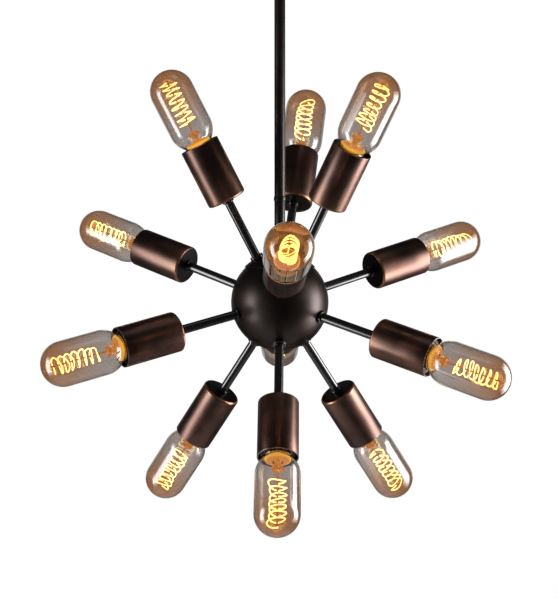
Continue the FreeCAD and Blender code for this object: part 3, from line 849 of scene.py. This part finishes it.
@dataclass(frozen=True)
class Arm:
    """One of the twelve arms."""

    number: int
    aim: Vector

    @property
    def turn(self) -> Matrix:
        """Turn that swings +Z to the arm's aim, without its place.

        Returns:
            The turn.
        """
        polar = math.acos(max(-1.0, min(1.0, self.aim.z)))
        azimuth = math.atan2(self.aim.y, self.aim.x)
        return Matrix.Rotation(azimuth, 4, "Z") @ Matrix.Rotation(polar, 4, "Y")

    @property
    def place(self) -> Matrix:
        """Place of pieces that are modelled from the middle of the ball."""
        return Matrix.Translation(BALL_CENTRE) @ self.turn

    @property
    def on_lid(self) -> bool:
        """True for the three arms that stand on the lid."""
        return self.number <= 3

    @property
    def body(self) -> str:
        """The bulb's body."""
        return f"bulb_{self.number:02d}"


def all_arms() -> list[Arm]:
    """Reads the arms from the bulbs' joints.

    Returns:
        The arms in the order of their numbers, aimed as the joints are.
    """
    arms = []
    for joint in frame["joints"]:
        if joint["child"].startswith("bulb_"):
            arms.append(Arm(int(joint["child"][-2:]), Vector(joint["axis"]).normalized()))
    return sorted(arms, key=lambda arm: arm.number)


def rounded_tube(outer: float, inner: float, low: float, high: float, edge: float) -> list[Point]:
    """Outline of a tube with rounded outer edges.

    Args:
        outer: Outer radius.
        inner: Inner radius.
        low: Lower end.
        high: Upper end.
        edge: Radius of the outer edges.

    Returns:
        The closed outline.
    """
    start = arc((outer - edge, low + edge), edge, -90, 0, 4)
    end = arc((outer - edge, high - edge), edge, 0, 90, 4)
    return [(inner, low)] + start + end + [(inner, high)]


# ------------------------------------------------------------------------------------------ sub-assemblies
@dataclass
class CeilingFitting:
    """Crossbar, canopy, knobs, nipple and the slope swivel."""

    canopy_radius: float = 0.0635
    canopy_depth: float = 0.028
    wall: float = 0.0012
    bend: float = 0.022
    centre_hole: float = 0.00525
    rim_edge: float = 0.0004

    def build_canopy(self, bronze: bpy.types.Material) -> None:
        """Builds the dished canopy.

        Args:
            bronze: Its finish.
        """
        flat = self.canopy_radius - self.bend
        bend_z = -self.canopy_depth + self.bend
        edge = self.rim_edge
        inner = self.canopy_radius - self.wall
        outline = [(inner, 0.0), (self.canopy_radius - edge, 0.0)]
        outline += arc((self.canopy_radius - edge, -edge), edge, 90, 0, 3)[1:]
        outline += arc((flat, bend_z), self.bend, 0, -90, 18)
        outline += [(self.centre_hole, -self.canopy_depth)]
        outline += [(self.centre_hole, -self.canopy_depth + self.wall)]
        outline += arc((flat, bend_z), self.bend - self.wall, -90, 0, 18)
        Form.turned(outline, 128).piece("canopy_dish", bronze, Body.CEILING.value, Slot.BRONZE, ["canopy"])

    def build_hardware(self, bronze: bpy.types.Material, enamel: bpy.types.Material,
                       steel: bpy.types.Material) -> None:
        """Smooths and dresses the small parts that keep their CAD shape.

        Args:
            bronze: Finish of the knobs, yoke and knuckle.
            enamel: Finish of the pin.
            steel: Finish of the parts behind the canopy.
        """
        rows = (
            ("ceiling_crossbar", "crossbar", steel, Body.CEILING, Slot.ZINC),
            ("canopy_screws", "canopy_studs", steel, Body.CEILING, Slot.ZINC),
            ("canopy_knobs", "knurled_knobs", bronze, Body.CEILING, Slot.BRONZE),
            ("hanging_nipple", "threaded_nipple", steel, Body.CEILING, Slot.ZINC),
            ("nipple_lock_nut", "nipple_nut", steel, Body.CEILING, Slot.ZINC),
            ("swivel_yoke", "turning_yoke", bronze, Body.SWIVEL, Slot.BRONZE),
            ("swivel_pin", "yoke_rivet", enamel, Body.SWIVEL, Slot.BLACK),
            ("swivel_knuckle", "stem_knuckle", bronze, Body.LAMP, Slot.BRONZE),
        )
        for node, name, material, body, slot in rows:
            Form.from_node(node).piece(name, material, body.value, slot, [node])


def rolled(depth: float, part: float) -> float:
    """Rise of a rolled thread's round wave, from 0 to its depth, a part of the way through its pitch."""
    return depth * 0.5 * (1 - math.cos(2 * math.pi * part))


@dataclass
class Stem:
    """Two tubes with a coupling ring between them."""

    radius: float = 0.0057
    bore: float = 0.004
    ring_radius: float = 0.0063
    ring_height: float = 0.0045
    edge: float = 0.0005
    sink: float = 0.0004

    def build(self, enamel: bpy.types.Material) -> None:
        """Builds the tubes and the ring.

        Args:
            enamel: Their finish.
        """
        top, ring_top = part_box("swivel_knuckle")[0].z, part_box("upper_stem")[0].z
        ring_low = ring_top - self.ring_height
        foot = BALL_CENTRE.z + LID_RADIUS - self.sink
        rows = (
            ("upper_stem", "long_tube", self.radius, ring_top, top),
            ("stem_coupling", "coupling_ring", self.ring_radius, ring_low, ring_top),
            ("lower_stem", "short_tube", self.radius, foot, ring_low),
        )
        for node, name, radius, low, high in rows:
            outline = rounded_tube(radius, self.bore, low, high, self.edge)
            Form.turned(outline, 48).piece(name, enamel, Body.LAMP.value, Slot.BLACK, [node])


@dataclass
class Hub:
    """The hollow ball and the domed lid that laps over its top."""

    ball_wall: float = 0.0012
    opening_angle: float = 42.8
    lip_angle: float = 44.9
    lip_edge: float = 0.0005
    lip_bevel: float = 0.6
    lip_lean: float = 0.2
    lid_gap: float = 0.00003
    stem_hole: float = 0.00525

    def build(self, bronze: bpy.types.Material, steel: bpy.types.Material) -> None:
        """Builds the shells and dresses the hardware inside.

        Args:
            bronze: Finish of ball and lid.
            steel: Finish of the strap and the nuts.
        """
        centre, rim = (0.0, BALL_CENTRE.z), 90 - self.opening_angle
        outline = arc(centre, BALL_RADIUS, -90, rim, 72)
        outline += arc(centre, BALL_RADIUS - self.ball_wall, rim, -90, 72)
        Form.turned(outline, 128).piece("ball_shell", bronze, Body.LAMP.value, Slot.BRONZE, ["hub_ball"])

        lip = 90 - self.lip_angle
        edge_span = math.degrees(self.lip_edge / LID_RADIUS)
        top = 90 - math.degrees(self.stem_hole / LID_RADIUS)
        bevel = LID_RADIUS - self.lip_edge * self.lip_bevel
        outline = arc(centre, BALL_RADIUS + self.lid_gap, top, lip, 40)
        outline += arc(centre, bevel, lip - edge_span * self.lip_lean, lip, 1)
        outline += arc(centre, LID_RADIUS, lip + edge_span, top, 40)
        Form.turned(outline, 128).piece("lid_shell", bronze, Body.LAMP.value, Slot.BRONZE, ["hub_lid"])
        rows = (("hub_strap", "inner_strap"), ("stem_lock_nut", "stem_nut"), ("arm_lock_nuts", "rod_nuts"))
        for node, name in rows:
            Form.from_node(node).piece(name, steel, Body.LAMP.value, Slot.ZINC, [node])


@dataclass
class ArmTubes:
    """Twelve rods with a check ring at each end."""

    rod_radius: float = 0.0047
    thread_radius: float = 0.004
    bore: float = 0.0025
    hub_ring_radius: float = 0.007
    hub_ring_height: float = 0.003
    hub_ring_sink: float = 0.0004
    cup_ring_radius: float = 0.0061
    cup_ring_height: float = 0.003
    cup_back: float = 0.120
    hub_thread: float = 0.009
    cup_thread: float = 0.008
    edge: float = 0.0004

    def rod(self, surface: float) -> list[Point]:
        """Outline of a rod with a thinner thread at each end.

        Args:
            surface: Radius of the lid or the ball that the rod stands on.

        Returns:
            The closed outline.
        """
        shoulder, outer_shoulder = surface + self.hub_ring_height, self.cup_back - self.cup_ring_height
        inner_end, outer_end = surface - self.hub_thread, self.cup_back + self.cup_thread
        thread, rod, edge = self.thread_radius, self.rod_radius, self.edge
        outline = [(self.bore, inner_end), (thread, inner_end), (thread, shoulder), (rod - edge, shoulder)]
        outline += [(rod, shoulder + edge), (rod, outer_shoulder - edge), (rod - edge, outer_shoulder)]
        return outline + [(thread, outer_shoulder), (thread, outer_end), (self.bore, outer_end)]

    def build(self, arms: Sequence[Arm], enamel: bpy.types.Material) -> None:
        """Builds rods and rings for the arms on the lid and for those on the ball.

        Args:
            arms: All twelve arms.
            enamel: Their finish.
        """
        rows = []
        for label, surface in (("lid", LID_RADIUS), ("ball", BALL_RADIUS)):
            places = [arm.place for arm in arms if arm.on_lid == (label == "lid")]
            ring = rounded_tube(self.hub_ring_radius, self.thread_radius, surface - self.hub_ring_sink,
                                surface + self.hub_ring_height, self.edge)
            rows.append((f"rods_on_{label}", "arm_rods", self.rod(surface), places))
            rows.append((f"check_rings_on_{label}", "hub_collars", ring, places))
        ring = rounded_tube(self.cup_ring_radius, self.thread_radius, self.cup_back - self.cup_ring_height,
                            self.cup_back, self.edge)
        rows.append(("cup_rings", "cup_collars", ring, [arm.place for arm in arms]))
        for name, node, outline, places in rows:
            Form.turned(outline, 40).piece(name, enamel, Body.LAMP.value, Slot.BLACK, [node], places)


@dataclass
class Cups:
    """Twelve drawn cups with the lamp holders inside them."""

    back: float = 0.120
    length: float = 0.063
    radius: float = 0.0205
    wall: float = 0.0012
    corner: float = 0.0026
    rod_hole: float = 0.00425
    mouth_edge: float = 0.0003
    mouth_band: float = 0.020
    worn_radius: float = 0.0194
    holder_radius: float = 0.0186
    holder_length: float = 0.0578
    holder_edge: float = 0.001
    socket_depth: float = 0.0246
    shell_bore: float = 0.0135
    shell_wall: float = 0.0005
    shell_inset: float = 0.00015
    shell_gap: float = 0.00005
    shell_lift: float = 0.0002
    shell_steps: int = 40
    thread_pitch: float = 0.00363
    thread_depth: float = 0.0004
    contact_radius: float = 0.004
    contact_height: float = 0.001
    contact_edge: float = 0.0004

    @property
    def holder_back(self) -> float:
        """Height of the holder's back, on the inside of the cup's back."""
        return self.back + self.wall

    @property
    def rim(self) -> float:
        """Height of the holder's rim."""
        return self.holder_back + self.holder_length

    @property
    def floor(self) -> float:
        """Height of the socket's floor."""
        return self.rim - self.socket_depth

    def build_cups(self, places: Sequence[Matrix], bronze: bpy.types.Material) -> None:
        """Builds the cups.

        Args:
            places: The arms' places.
            bronze: Their finish.
        """
        mouth, edge = self.back + self.length, self.mouth_edge
        inner = self.radius - self.wall
        corner = (self.radius - self.corner, self.back + self.corner)
        outline = [(self.rod_hole, self.back)]
        outline += arc(corner, self.corner, -90, 0, 8)
        outline += [(self.radius, mouth - self.mouth_band)]
        outline += arc((self.radius - edge, mouth - edge), edge, 0, 90, 3)
        outline += arc((inner + edge, mouth - edge), edge, 90, 180, 3)
        outline += arc(corner, self.corner - self.wall, 0, -90, 4)
        outline += [(self.rod_hole, self.holder_back)]
        cups = Form.turned(outline, 80)
        cups.piece("cup_shells", bronze, Body.LAMP.value, Slot.BRONZE, ["lamp_cups"], places)

    def build_holders(self, places: Sequence[Matrix], moulding: bpy.types.Material,
                      brass: bpy.types.Material) -> None:
        """Builds the moulded holders, their rolled screw shells and centre contacts.

        Args:
            places: The arms' places.
            moulding: Finish of the holders.
            brass: Finish of shells and contacts.
        """
        edge, seat = self.holder_edge, self.shell_bore + self.shell_wall + self.shell_gap
        holder = [(0.0, self.holder_back), (self.holder_radius - 2 * edge, self.holder_back)]
        holder += [(self.holder_radius, self.holder_back + 2 * edge)]
        holder += arc((self.holder_radius - edge, self.rim - edge), edge, 0, 90, 5)
        holder += arc((seat + edge / 2, self.rim - edge / 2), edge / 2, 90, 180, 3)
        holder += [(seat, self.floor), (0.0, self.floor)]

        low, high = self.floor + self.shell_lift, self.rim - edge
        outer, inner = [], []
        for step in range(self.shell_steps + 1):
            height = low + (high - low) * step / self.shell_steps
            roll = rolled(self.thread_depth, (height - low) / self.thread_pitch)
            outer.append((self.shell_bore + self.shell_wall - roll, height))
            inner.append((self.shell_bore + self.shell_inset - roll, height))

        top, edge = self.floor + self.contact_height, self.contact_edge
        contact = [(0.0, self.floor), (self.contact_radius, self.floor)]
        contact += arc((self.contact_radius - edge, top - edge), edge, 0, 90, 3) + [(0.0, top)]

        rows = (
            ("holder_bodies", "lamp_holders", moulding, Slot.MOULDING, holder, 56),
            ("rolled_screw_shells", "screw_shells", brass, Slot.BRASS, outer + inner[::-1], 56),
            ("socket_contacts", "centre_contacts", brass, Slot.BRASS, contact, 32),
        )
        for name, node, material, slot, outline, segments in rows:
            Form.turned(outline, segments).piece(name, material, Body.LAMP.value, slot, [node], places)


@dataclass
class Bulb:
    """One tubular bulb: envelope, screw cap, glass stem with its wires, and the wound filament."""

    seat: float = 0.1554
    length: float = 0.10995
    radius: float = 0.02247
    glass_wall: float = 0.0008
    neck_radius: float = 0.0122
    shoulder_radius: float = 0.024
    cap_radius: float = 0.0131
    cap_length: float = 0.0268
    cap_core_radius: float = 0.0122
    cap_edge: float = 0.0004
    neck_depth: float = 0.010
    neck_fit: float = 0.0001
    thread_pitch: float = 0.00363
    thread_start: float = 0.0055
    thread_stop: float = 0.006
    thread_steps: int = 10
    thread_sides: int = 48
    thread_merge: float = 2e-6
    contact_radius: float = 0.0042
    contact_round: float = 0.0005
    insulator: Point = (0.0085, 0.0028)
    insulator_top: float = 0.005
    flare_height: float = 0.009
    flare_gap: float = 0.0002
    flare_reach: float = 0.001
    stem_radius: float = 0.004
    stem_height: float = 0.0165
    stem_waist: float = 0.8
    stem_round: float = 0.002
    dish_radius: float = 0.0132
    dish_low: float = 0.0022
    dish_high: float = 0.0062
    dish_wall: float = 0.0005
    beads: int = 8
    bead_radius: float = 0.0013
    bead_stretch: float = 1.7
    bead_out: float = 0.0009
    bead_drop: float = 0.0020
    rod_radius: float = 0.0009
    rod_sink: float = 0.001
    rod_rise: float = 0.0012
    coil_radius: float = 0.008
    coil_turns: int = 7
    coil_pitch: float = 0.0066
    coil_above_stem: float = 0.0095
    wire: float = 0.0011
    unevenness: float = 0.0030
    uneven_cells: float = 60.0
    uneven_step: float = 7.3
    uneven_seed: int = 1
    support_wire: float = 0.0004

    @property
    def tip(self) -> float:
        """Height of the dome's tip."""
        return self.seat + self.length

    @property
    def cap_top(self) -> float:
        """Height of the cap's rim."""
        return self.seat + self.cap_length

    @property
    def neck_low(self) -> float:
        """Height of the glass neck's end inside the cap."""
        return self.cap_top - self.neck_depth

    @property
    def coil_low(self) -> float:
        """Height of the coil's start."""
        return self.neck_low + self.flare_height + self.stem_height + self.coil_above_stem

    @property
    def coil_high(self) -> float:
        """Height of the coil's end."""
        return self.coil_low + self.coil_turns * self.coil_pitch

    def envelope(self) -> Form:
        """Straight tube with a domed tip, a round shoulder and a neck, as one closed wall.

        Returns:
            The form.
        """
        wall = self.glass_wall
        bend_r = self.radius - self.shoulder_radius
        inner_bend = self.shoulder_radius - wall
        rise = math.acos((self.neck_radius - bend_r) / self.shoulder_radius)
        inner_rise = math.acos((self.neck_radius - wall - bend_r) / inner_bend)
        shoulder = (bend_r, self.cap_top + self.shoulder_radius * math.sin(rise))
        dome = (0.0, self.tip - self.radius)
        outline = [(self.neck_radius, self.neck_low)]
        outline += arc(shoulder, self.shoulder_radius, -math.degrees(rise), 0, 20)
        outline += arc(dome, self.radius, 0, 90, 28)
        outline += arc(dome, self.radius - wall, 90, 0, 28)
        outline += arc(shoulder, inner_bend, 0, -math.degrees(inner_rise), 20)
        outline += [(self.neck_radius - wall, self.neck_low)]
        return Form.turned(outline, 80)

    def thread(self, low: float, high: float) -> Form:
        """Closed barrel whose rolled thread climbs in one helix.

        Args:
            low: Its lower end.
            high: Its upper end.

        Returns:
            The form.
        """
        form = Form()
        verts = []
        depth, start = self.cap_radius - self.cap_core_radius, low - self.thread_pitch
        for step in range(self.thread_steps + 1):
            part = step / self.thread_steps
            radius = self.cap_core_radius + rolled(depth, part)
            verts.append(form.bm.verts.new((radius, 0, start + part * self.thread_pitch)))
        edges = [form.bm.edges.new(pair) for pair in zip(verts, verts[1:])]
        turns = math.ceil((high - low) / self.thread_pitch) + 2
        form.spin(verts + edges, turns * self.thread_sides, turns, self.thread_pitch / self.thread_sides)
        bmesh.ops.remove_doubles(form.bm, verts=form.bm.verts, dist=self.thread_merge)
        return form.cut_between(low, high)

    def cap(self) -> Form:
        """Screw cap with a rolled thread, an insulator and a centre contact.

        Returns:
            The form.
        """
        low, high = self.seat + self.thread_start, self.cap_top - self.thread_stop
        edge, inset, fit = self.cap_edge, self.cap_radius - self.cap_edge, self.neck_fit
        collar = [(0.0, high), (inset, high)]
        collar += arc((inset, high + edge), edge, -90, 0, 3)
        collar += arc((inset, self.cap_top - edge), edge, 0, 90, 3)
        collar += [(self.neck_radius + fit, self.cap_top), (self.neck_radius + fit, self.neck_low - fit)]
        collar += [(0.0, self.neck_low - fit)]
        contact, bead = self.contact_radius, self.contact_round
        foot = [(0.0, self.seat), (contact, self.seat)]
        foot += arc((contact, self.seat + bead), bead, -90, 0, 3)
        foot += [(contact + bead, self.seat + 2 * bead), (self.insulator[0], self.seat + self.insulator[1])]
        foot += [(self.cap_core_radius, self.seat + self.insulator_top), (self.cap_core_radius, low)]
        foot += [(0.0, low)]
        return self.thread(low, high).joined(Form.turned(collar, 56)).joined(Form.turned(foot, 56))

    def stem(self) -> Form:
        """Glass flare and stem, a crown of beads where the wires leave it, the centre rod and the supports.

        Returns:
            The form.
        """
        width, tip = self.stem_radius, self.stem_round
        flare = self.neck_radius - self.glass_wall - self.flare_gap
        sweep = flare + self.flare_reach
        foot = self.neck_low + self.flare_height
        top = foot + self.stem_height
        outline = [(0.0, self.neck_low), (flare, self.neck_low)]
        outline += arc((sweep, foot), sweep - width, -100, -180, 12)
        outline += [(width * self.stem_waist, top - 3 * tip), (width, top - tip)]
        outline += arc((width - tip, top - tip), tip, 0, 90, 4) + [(0.0, top)]
        form = Form.turned(outline, 40)

        lip, reach = self.cap_top + self.dish_low, self.dish_radius - width
        scale = (self.dish_high - self.dish_low) / reach
        bowl = [(r, lip + (z - lip) * scale) for r, z in arc((width, lip), reach, 0, 80, 8)]
        bowl += [(r, z - self.dish_wall) for r, z in reversed(bowl)]
        form.joined(Form.turned(bowl, 48))

        ring = width + self.bead_out
        for k in range(self.beads):
            angle = 2 * math.pi * k / self.beads
            middle = (ring * math.cos(angle), ring * math.sin(angle), top - self.bead_drop)
            form.bead(middle, self.bead_radius, self.bead_stretch)

        rod_top = self.coil_high + self.rod_rise
        form.bar((0, 0, top - self.rod_sink), (0, 0, rod_top), self.rod_radius, 12)
        form.bead((0, 0, rod_top), self.rod_radius * 1.25)
        for turn in range(self.coil_turns):
            height = self.coil_low + (turn + 0.5) * self.coil_pitch
            form.bar((0, 0, height), (-self.coil_radius, 0, height), self.support_wire / 2, 6)
        return form

    def filament(self, number: int) -> Form:
        """Wound wire, a little uneven on each bulb, with a leg from the centre rod at each end.

        Args:
            number: The bulb's number, from which its unevenness follows.

        Returns:
            The form.
        """
        noise.seed_set(self.uneven_seed)
        form = Form.coiled(self.coil_radius, self.wire, self.coil_low, self.coil_pitch, self.coil_turns, 36)
        for height in (self.coil_low, self.coil_high):
            form.bar((0, 0, height), (self.coil_radius, 0, height), self.wire / 2, 8)
            form.bead((self.coil_radius, 0, height), self.wire / 2)
        for vert in form.bm.verts:
            free = min(1.0, vert.co.xy.length / self.coil_radius)
            where = vert.co * self.uneven_cells + Vector((0, 0, self.uneven_step * number))
            vert.co += noise.noise_vector(where) * self.unevenness * free
        return form

    def build(self, arm: Arm, glass: bpy.types.Material, cap: bpy.types.Material,
              stem: bpy.types.Material, wire: bpy.types.Material) -> None:
        """Builds the bulb's pieces on its arm.

        Args:
            arm: The arm.
            glass: Finish of the envelope.
            cap: Finish of the screw cap.
            stem: Finish of the inner glass.
            wire: Finish of the filament.
        """
        number = f"{arm.number:02d}"
        rows = (
            ("envelope", "bulb_glass", self.envelope(), glass, Slot.GLASS),
            ("screw_cap", "bulb_base", self.cap(), cap, Slot.CAP),
            ("glass_stem", "bulb_filament", self.stem(), stem, Slot.FILAMENT),
            ("coil", "bulb_filament", self.filament(arm.number), wire, Slot.FILAMENT),
        )
        for name, node, form, material, slot in rows:
            form.piece(f"{name}_{number}", material, arm.body, slot, [f"{node}_{number}"], [arm.place])


# ------------------------------------------------------------------------------------------ studio
@dataclass(frozen=True)
class Softbox:
    """A rectangular lamp that faces the hanging lamp's ball and fades in steps towards its edges."""

    name: str
    place: tuple[float, float, float]
    width: float
    height: float
    radiance: float
    steps: tuple[Point, ...] = ((0.72, 0.50), (0.92, 0.22), (1.12, 0.16), (1.36, 0.12))
    spacing: float = 0.004

    def build(self) -> None:
        """Adds its lights, one in another; its place is measured from the middle of the ball."""
        here = Vector(self.place)
        for number, (scale, share) in enumerate(self.steps):
            light = bpy.data.lights.new(f"{self.name}_{number}", "AREA")
            light.shape = "RECTANGLE"
            light.size, light.size_y = self.width * scale, self.height * scale
            light.energy = self.radiance * share * light.size * light.size_y * math.pi
            obj = bpy.data.objects.new(light.name, light)
            obj.location = BALL_CENTRE + here * (1 + self.spacing * number)
            obj.rotation_euler = here.to_track_quat("Z", "Y").to_euler()
            bpy.context.scene.collection.objects.link(obj)


@dataclass
class Studio:
    """White floor and backdrop, dim room, soft lamps, and the photograph's camera."""

    camera_distance: float = 1.4667
    camera_rise: float = 2.61
    sensor: float = 36.0
    lens: float = 84.51
    shift_pixels: Point = (-0.8, 2.5)
    picture_height: float = 599.0
    floor_drop: float = 0.85
    floor_width: float = 4.4
    floor_front: float = -0.7
    floor_bend: float = 0.6
    backdrop_distance: float = 2.4
    backdrop_rise: float = 1.9
    paper_dark: Colour = (0.80, 0.80, 0.80)
    paper_light: Colour = (0.84, 0.84, 0.84)
    paper_glow: float = 0.95
    backdrop_off_gloss: float = 0.3
    fibre: Pattern = Pattern(40.0, 3.0)
    room: Colour = (1.0, 0.98, 0.97)
    room_level: float = 0.04
    softboxes: tuple[Softbox, ...] = field(default_factory=lambda: (
        Softbox("box_right", (0.64, 0.03, -0.09), 0.36, 0.64, 10.5),
        Softbox("box_left", (-0.98, -0.34, -0.18), 0.42, 0.92, 6.6),
        Softbox("box_top", (0.2, -0.3, 1.9), 0.8, 0.8, 0.5),
    ))

    def seen(self, s: Surface, *rays: str) -> Signal:
        """Tells kinds of ray apart.

        Args:
            s: The surface under construction.
            *rays: The kinds of ray.

        Returns:
            A value that is 1 for the named kinds and 0 for others.
        """
        signal = s.add("ShaderNodeLightPath", {}, output=f"Is {rays[0]} Ray")
        for ray in rays[1:]:
            signal = signal.maximum(s.add("ShaderNodeLightPath", {}, output=f"Is {ray} Ray"))
        return signal

    def build_camera(self) -> None:
        """Adds the camera where the photograph was taken from."""
        camera = bpy.data.cameras.new("camera")
        camera.sensor_width = self.sensor
        camera.lens = self.lens
        camera.shift_x, camera.shift_y = (pixels / self.picture_height for pixels in self.shift_pixels)
        rise = math.radians(self.camera_rise)
        away = Vector((0, -math.cos(rise), math.sin(rise)))
        obj = bpy.data.objects.new("camera", camera)
        obj.location = BALL_CENTRE + away * self.camera_distance
        obj.rotation_euler = away.to_track_quat("Z", "Y").to_euler()
        bpy.context.scene.collection.objects.link(obj)
        bpy.context.scene.camera = obj

    def build_world(self) -> None:
        """Dim room light, with white behind the object for the camera and through glass."""
        world = bpy.data.worlds.new("room")
        bpy.context.scene.world = world
        s = Surface(world)
        white = s.add("ShaderNodeBackground", {"Color": WHITE, "Strength": 1.0})
        room = s.add("ShaderNodeBackground", {"Color": self.room, "Strength": self.room_level})
        s.finish(s.add("ShaderNodeMixShader", {0: self.seen(s, "Camera", "Transmission"), 1: room, 2: white}))

    def paper(self, name: str, off_gloss: float) -> bpy.types.Material:
        """Pale paper, white to the camera and through glass, and clear from behind.

        Args:
            name: The material's name.
            off_gloss: How white it looks to rays off gloss, from 0 for paper in plain light to 1.

        Returns:
            The material.
        """
        s = Surface.material(name)
        colour = s.blend(s.pattern(s.place(), self.fibre), self.paper_dark, self.paper_light)
        diffuse = s.add("ShaderNodeBsdfDiffuse", {"Color": colour})
        shine = s.add("ShaderNodeEmission", {"Color": WHITE, "Strength": self.paper_glow})
        lit = s.add("ShaderNodeAddShader", {0: diffuse, 1: shine})
        amount = self.seen(s, "Camera", "Transmission").maximum(self.seen(s, "Glossy") * off_gloss)
        front = s.add("ShaderNodeMixShader", {0: amount, 1: diffuse, 2: lit})
        behind = s.add("ShaderNodeNewGeometry", {}, output="Backfacing")
        clear = s.add("ShaderNodeBsdfTransparent", {})
        return s.finish(s.add("ShaderNodeMixShader", {0: behind, 1: front, 2: clear}))

    def build_stage(self) -> None:
        """Pale floor and backdrop in one sweep, which keep the object's shadow."""
        papers = [self.paper("floor_paper", 0.0), self.paper("backdrop_paper", self.backdrop_off_gloss)]
        bm = bmesh.new()
        half, back, bend = self.floor_width / 2, self.backdrop_distance, self.floor_bend
        z = BALL_CENTRE.z - self.floor_drop
        outline = [(self.floor_front, z)] + arc((back - bend, z + bend), bend, -90, 0, 12)
        outline.append((back, z + self.backdrop_rise))
        verts = [bm.verts.new((-half, y, h)) for y, h in outline]
        edges = [bm.edges.new(pair) for pair in zip(verts, verts[1:])]
        moved = bmesh.ops.extrude_edge_only(bm, edges=edges)["geom"]
        side = [vert for vert in moved if isinstance(vert, bmesh.types.BMVert)]
        bmesh.ops.translate(bm, verts=side, vec=(2 * half, 0, 0))
        bmesh.ops.recalc_face_normals(bm, faces=bm.faces)
        lowest = min(bm.faces, key=lambda face: face.calc_center_median().z)
        if lowest.normal.z < 0:
            bmesh.ops.reverse_faces(bm, faces=bm.faces)
        for face in bm.faces:
            face.material_index = int(face.calc_center_median().z > z + bend / 2)
        mesh = bpy.data.meshes.new("paper_sweep")
        bm.to_mesh(mesh)
        bm.free()
        obj = bpy.data.objects.new("paper_sweep", mesh)
        for paper in papers:
            obj.data.materials.append(paper)
        bpy.context.scene.collection.objects.link(obj)

    def build(self) -> None:
        """Sets up view, camera, world, stage and lamps."""
        bpy.context.scene.view_settings.view_transform = "Standard"
        self.build_camera()
        self.build_world()
        self.build_stage()
        for softbox in self.softboxes:
            softbox.build()


def main() -> None:
    logging.basicConfig(level=logging.INFO, format="%(name)s %(message)s")
    Studio().build()
    arms = all_arms()
    places = [arm.place for arm in arms]
    hub_bronze = RubbedBronze("hub_bronze", dark=(0.046, 0.036, 0.033), warm=(0.082, 0.057, 0.050),
                              roughness=0.42, coat=0.35, scratch=0.05).build()
    cups = Cups()
    cup_bronze = RubbedBronze("cup_bronze", edge_height=cups.back, edge_radius=cups.worn_radius,
                              mouth_height=cups.back + cups.length, tan_band=cups.mouth_band,
                              tan_share=0.30).build()
    enamel = BlackEnamel().build()
    satin = BlackEnamel("satin_enamel", colour=(0.016, 0.011, 0.010), dust=(0.034, 0.026, 0.023),
                        roughness=0.34, coat=0.12, gloss=0.45).build()
    steel, brass = PLATED_STEEL.build(), SHELL_BRASS.build()
    fitting = CeilingFitting()
    fitting.build_canopy(hub_bronze)
    fitting.build_hardware(hub_bronze, enamel, steel)
    Stem().build(satin)
    Hub().build(hub_bronze, steel)
    ArmTubes().build(arms, enamel)
    cups.build_cups(places, cup_bronze)
    cups.build_holders(places, BLACK_MOULDING.build(), brass)
    bulb = Bulb()
    glass, nickel, stem = SmokedGlass().build(), CAP_NICKEL.build(), StemGlassPaintedLight().build()
    wire = GlowingWire(bulb.coil_low, bulb.coil_high).build()
    for arm in arms:
        bulb.build(arm, glass, nickel, stem, wire)


if __name__ == "__main__":
    main()
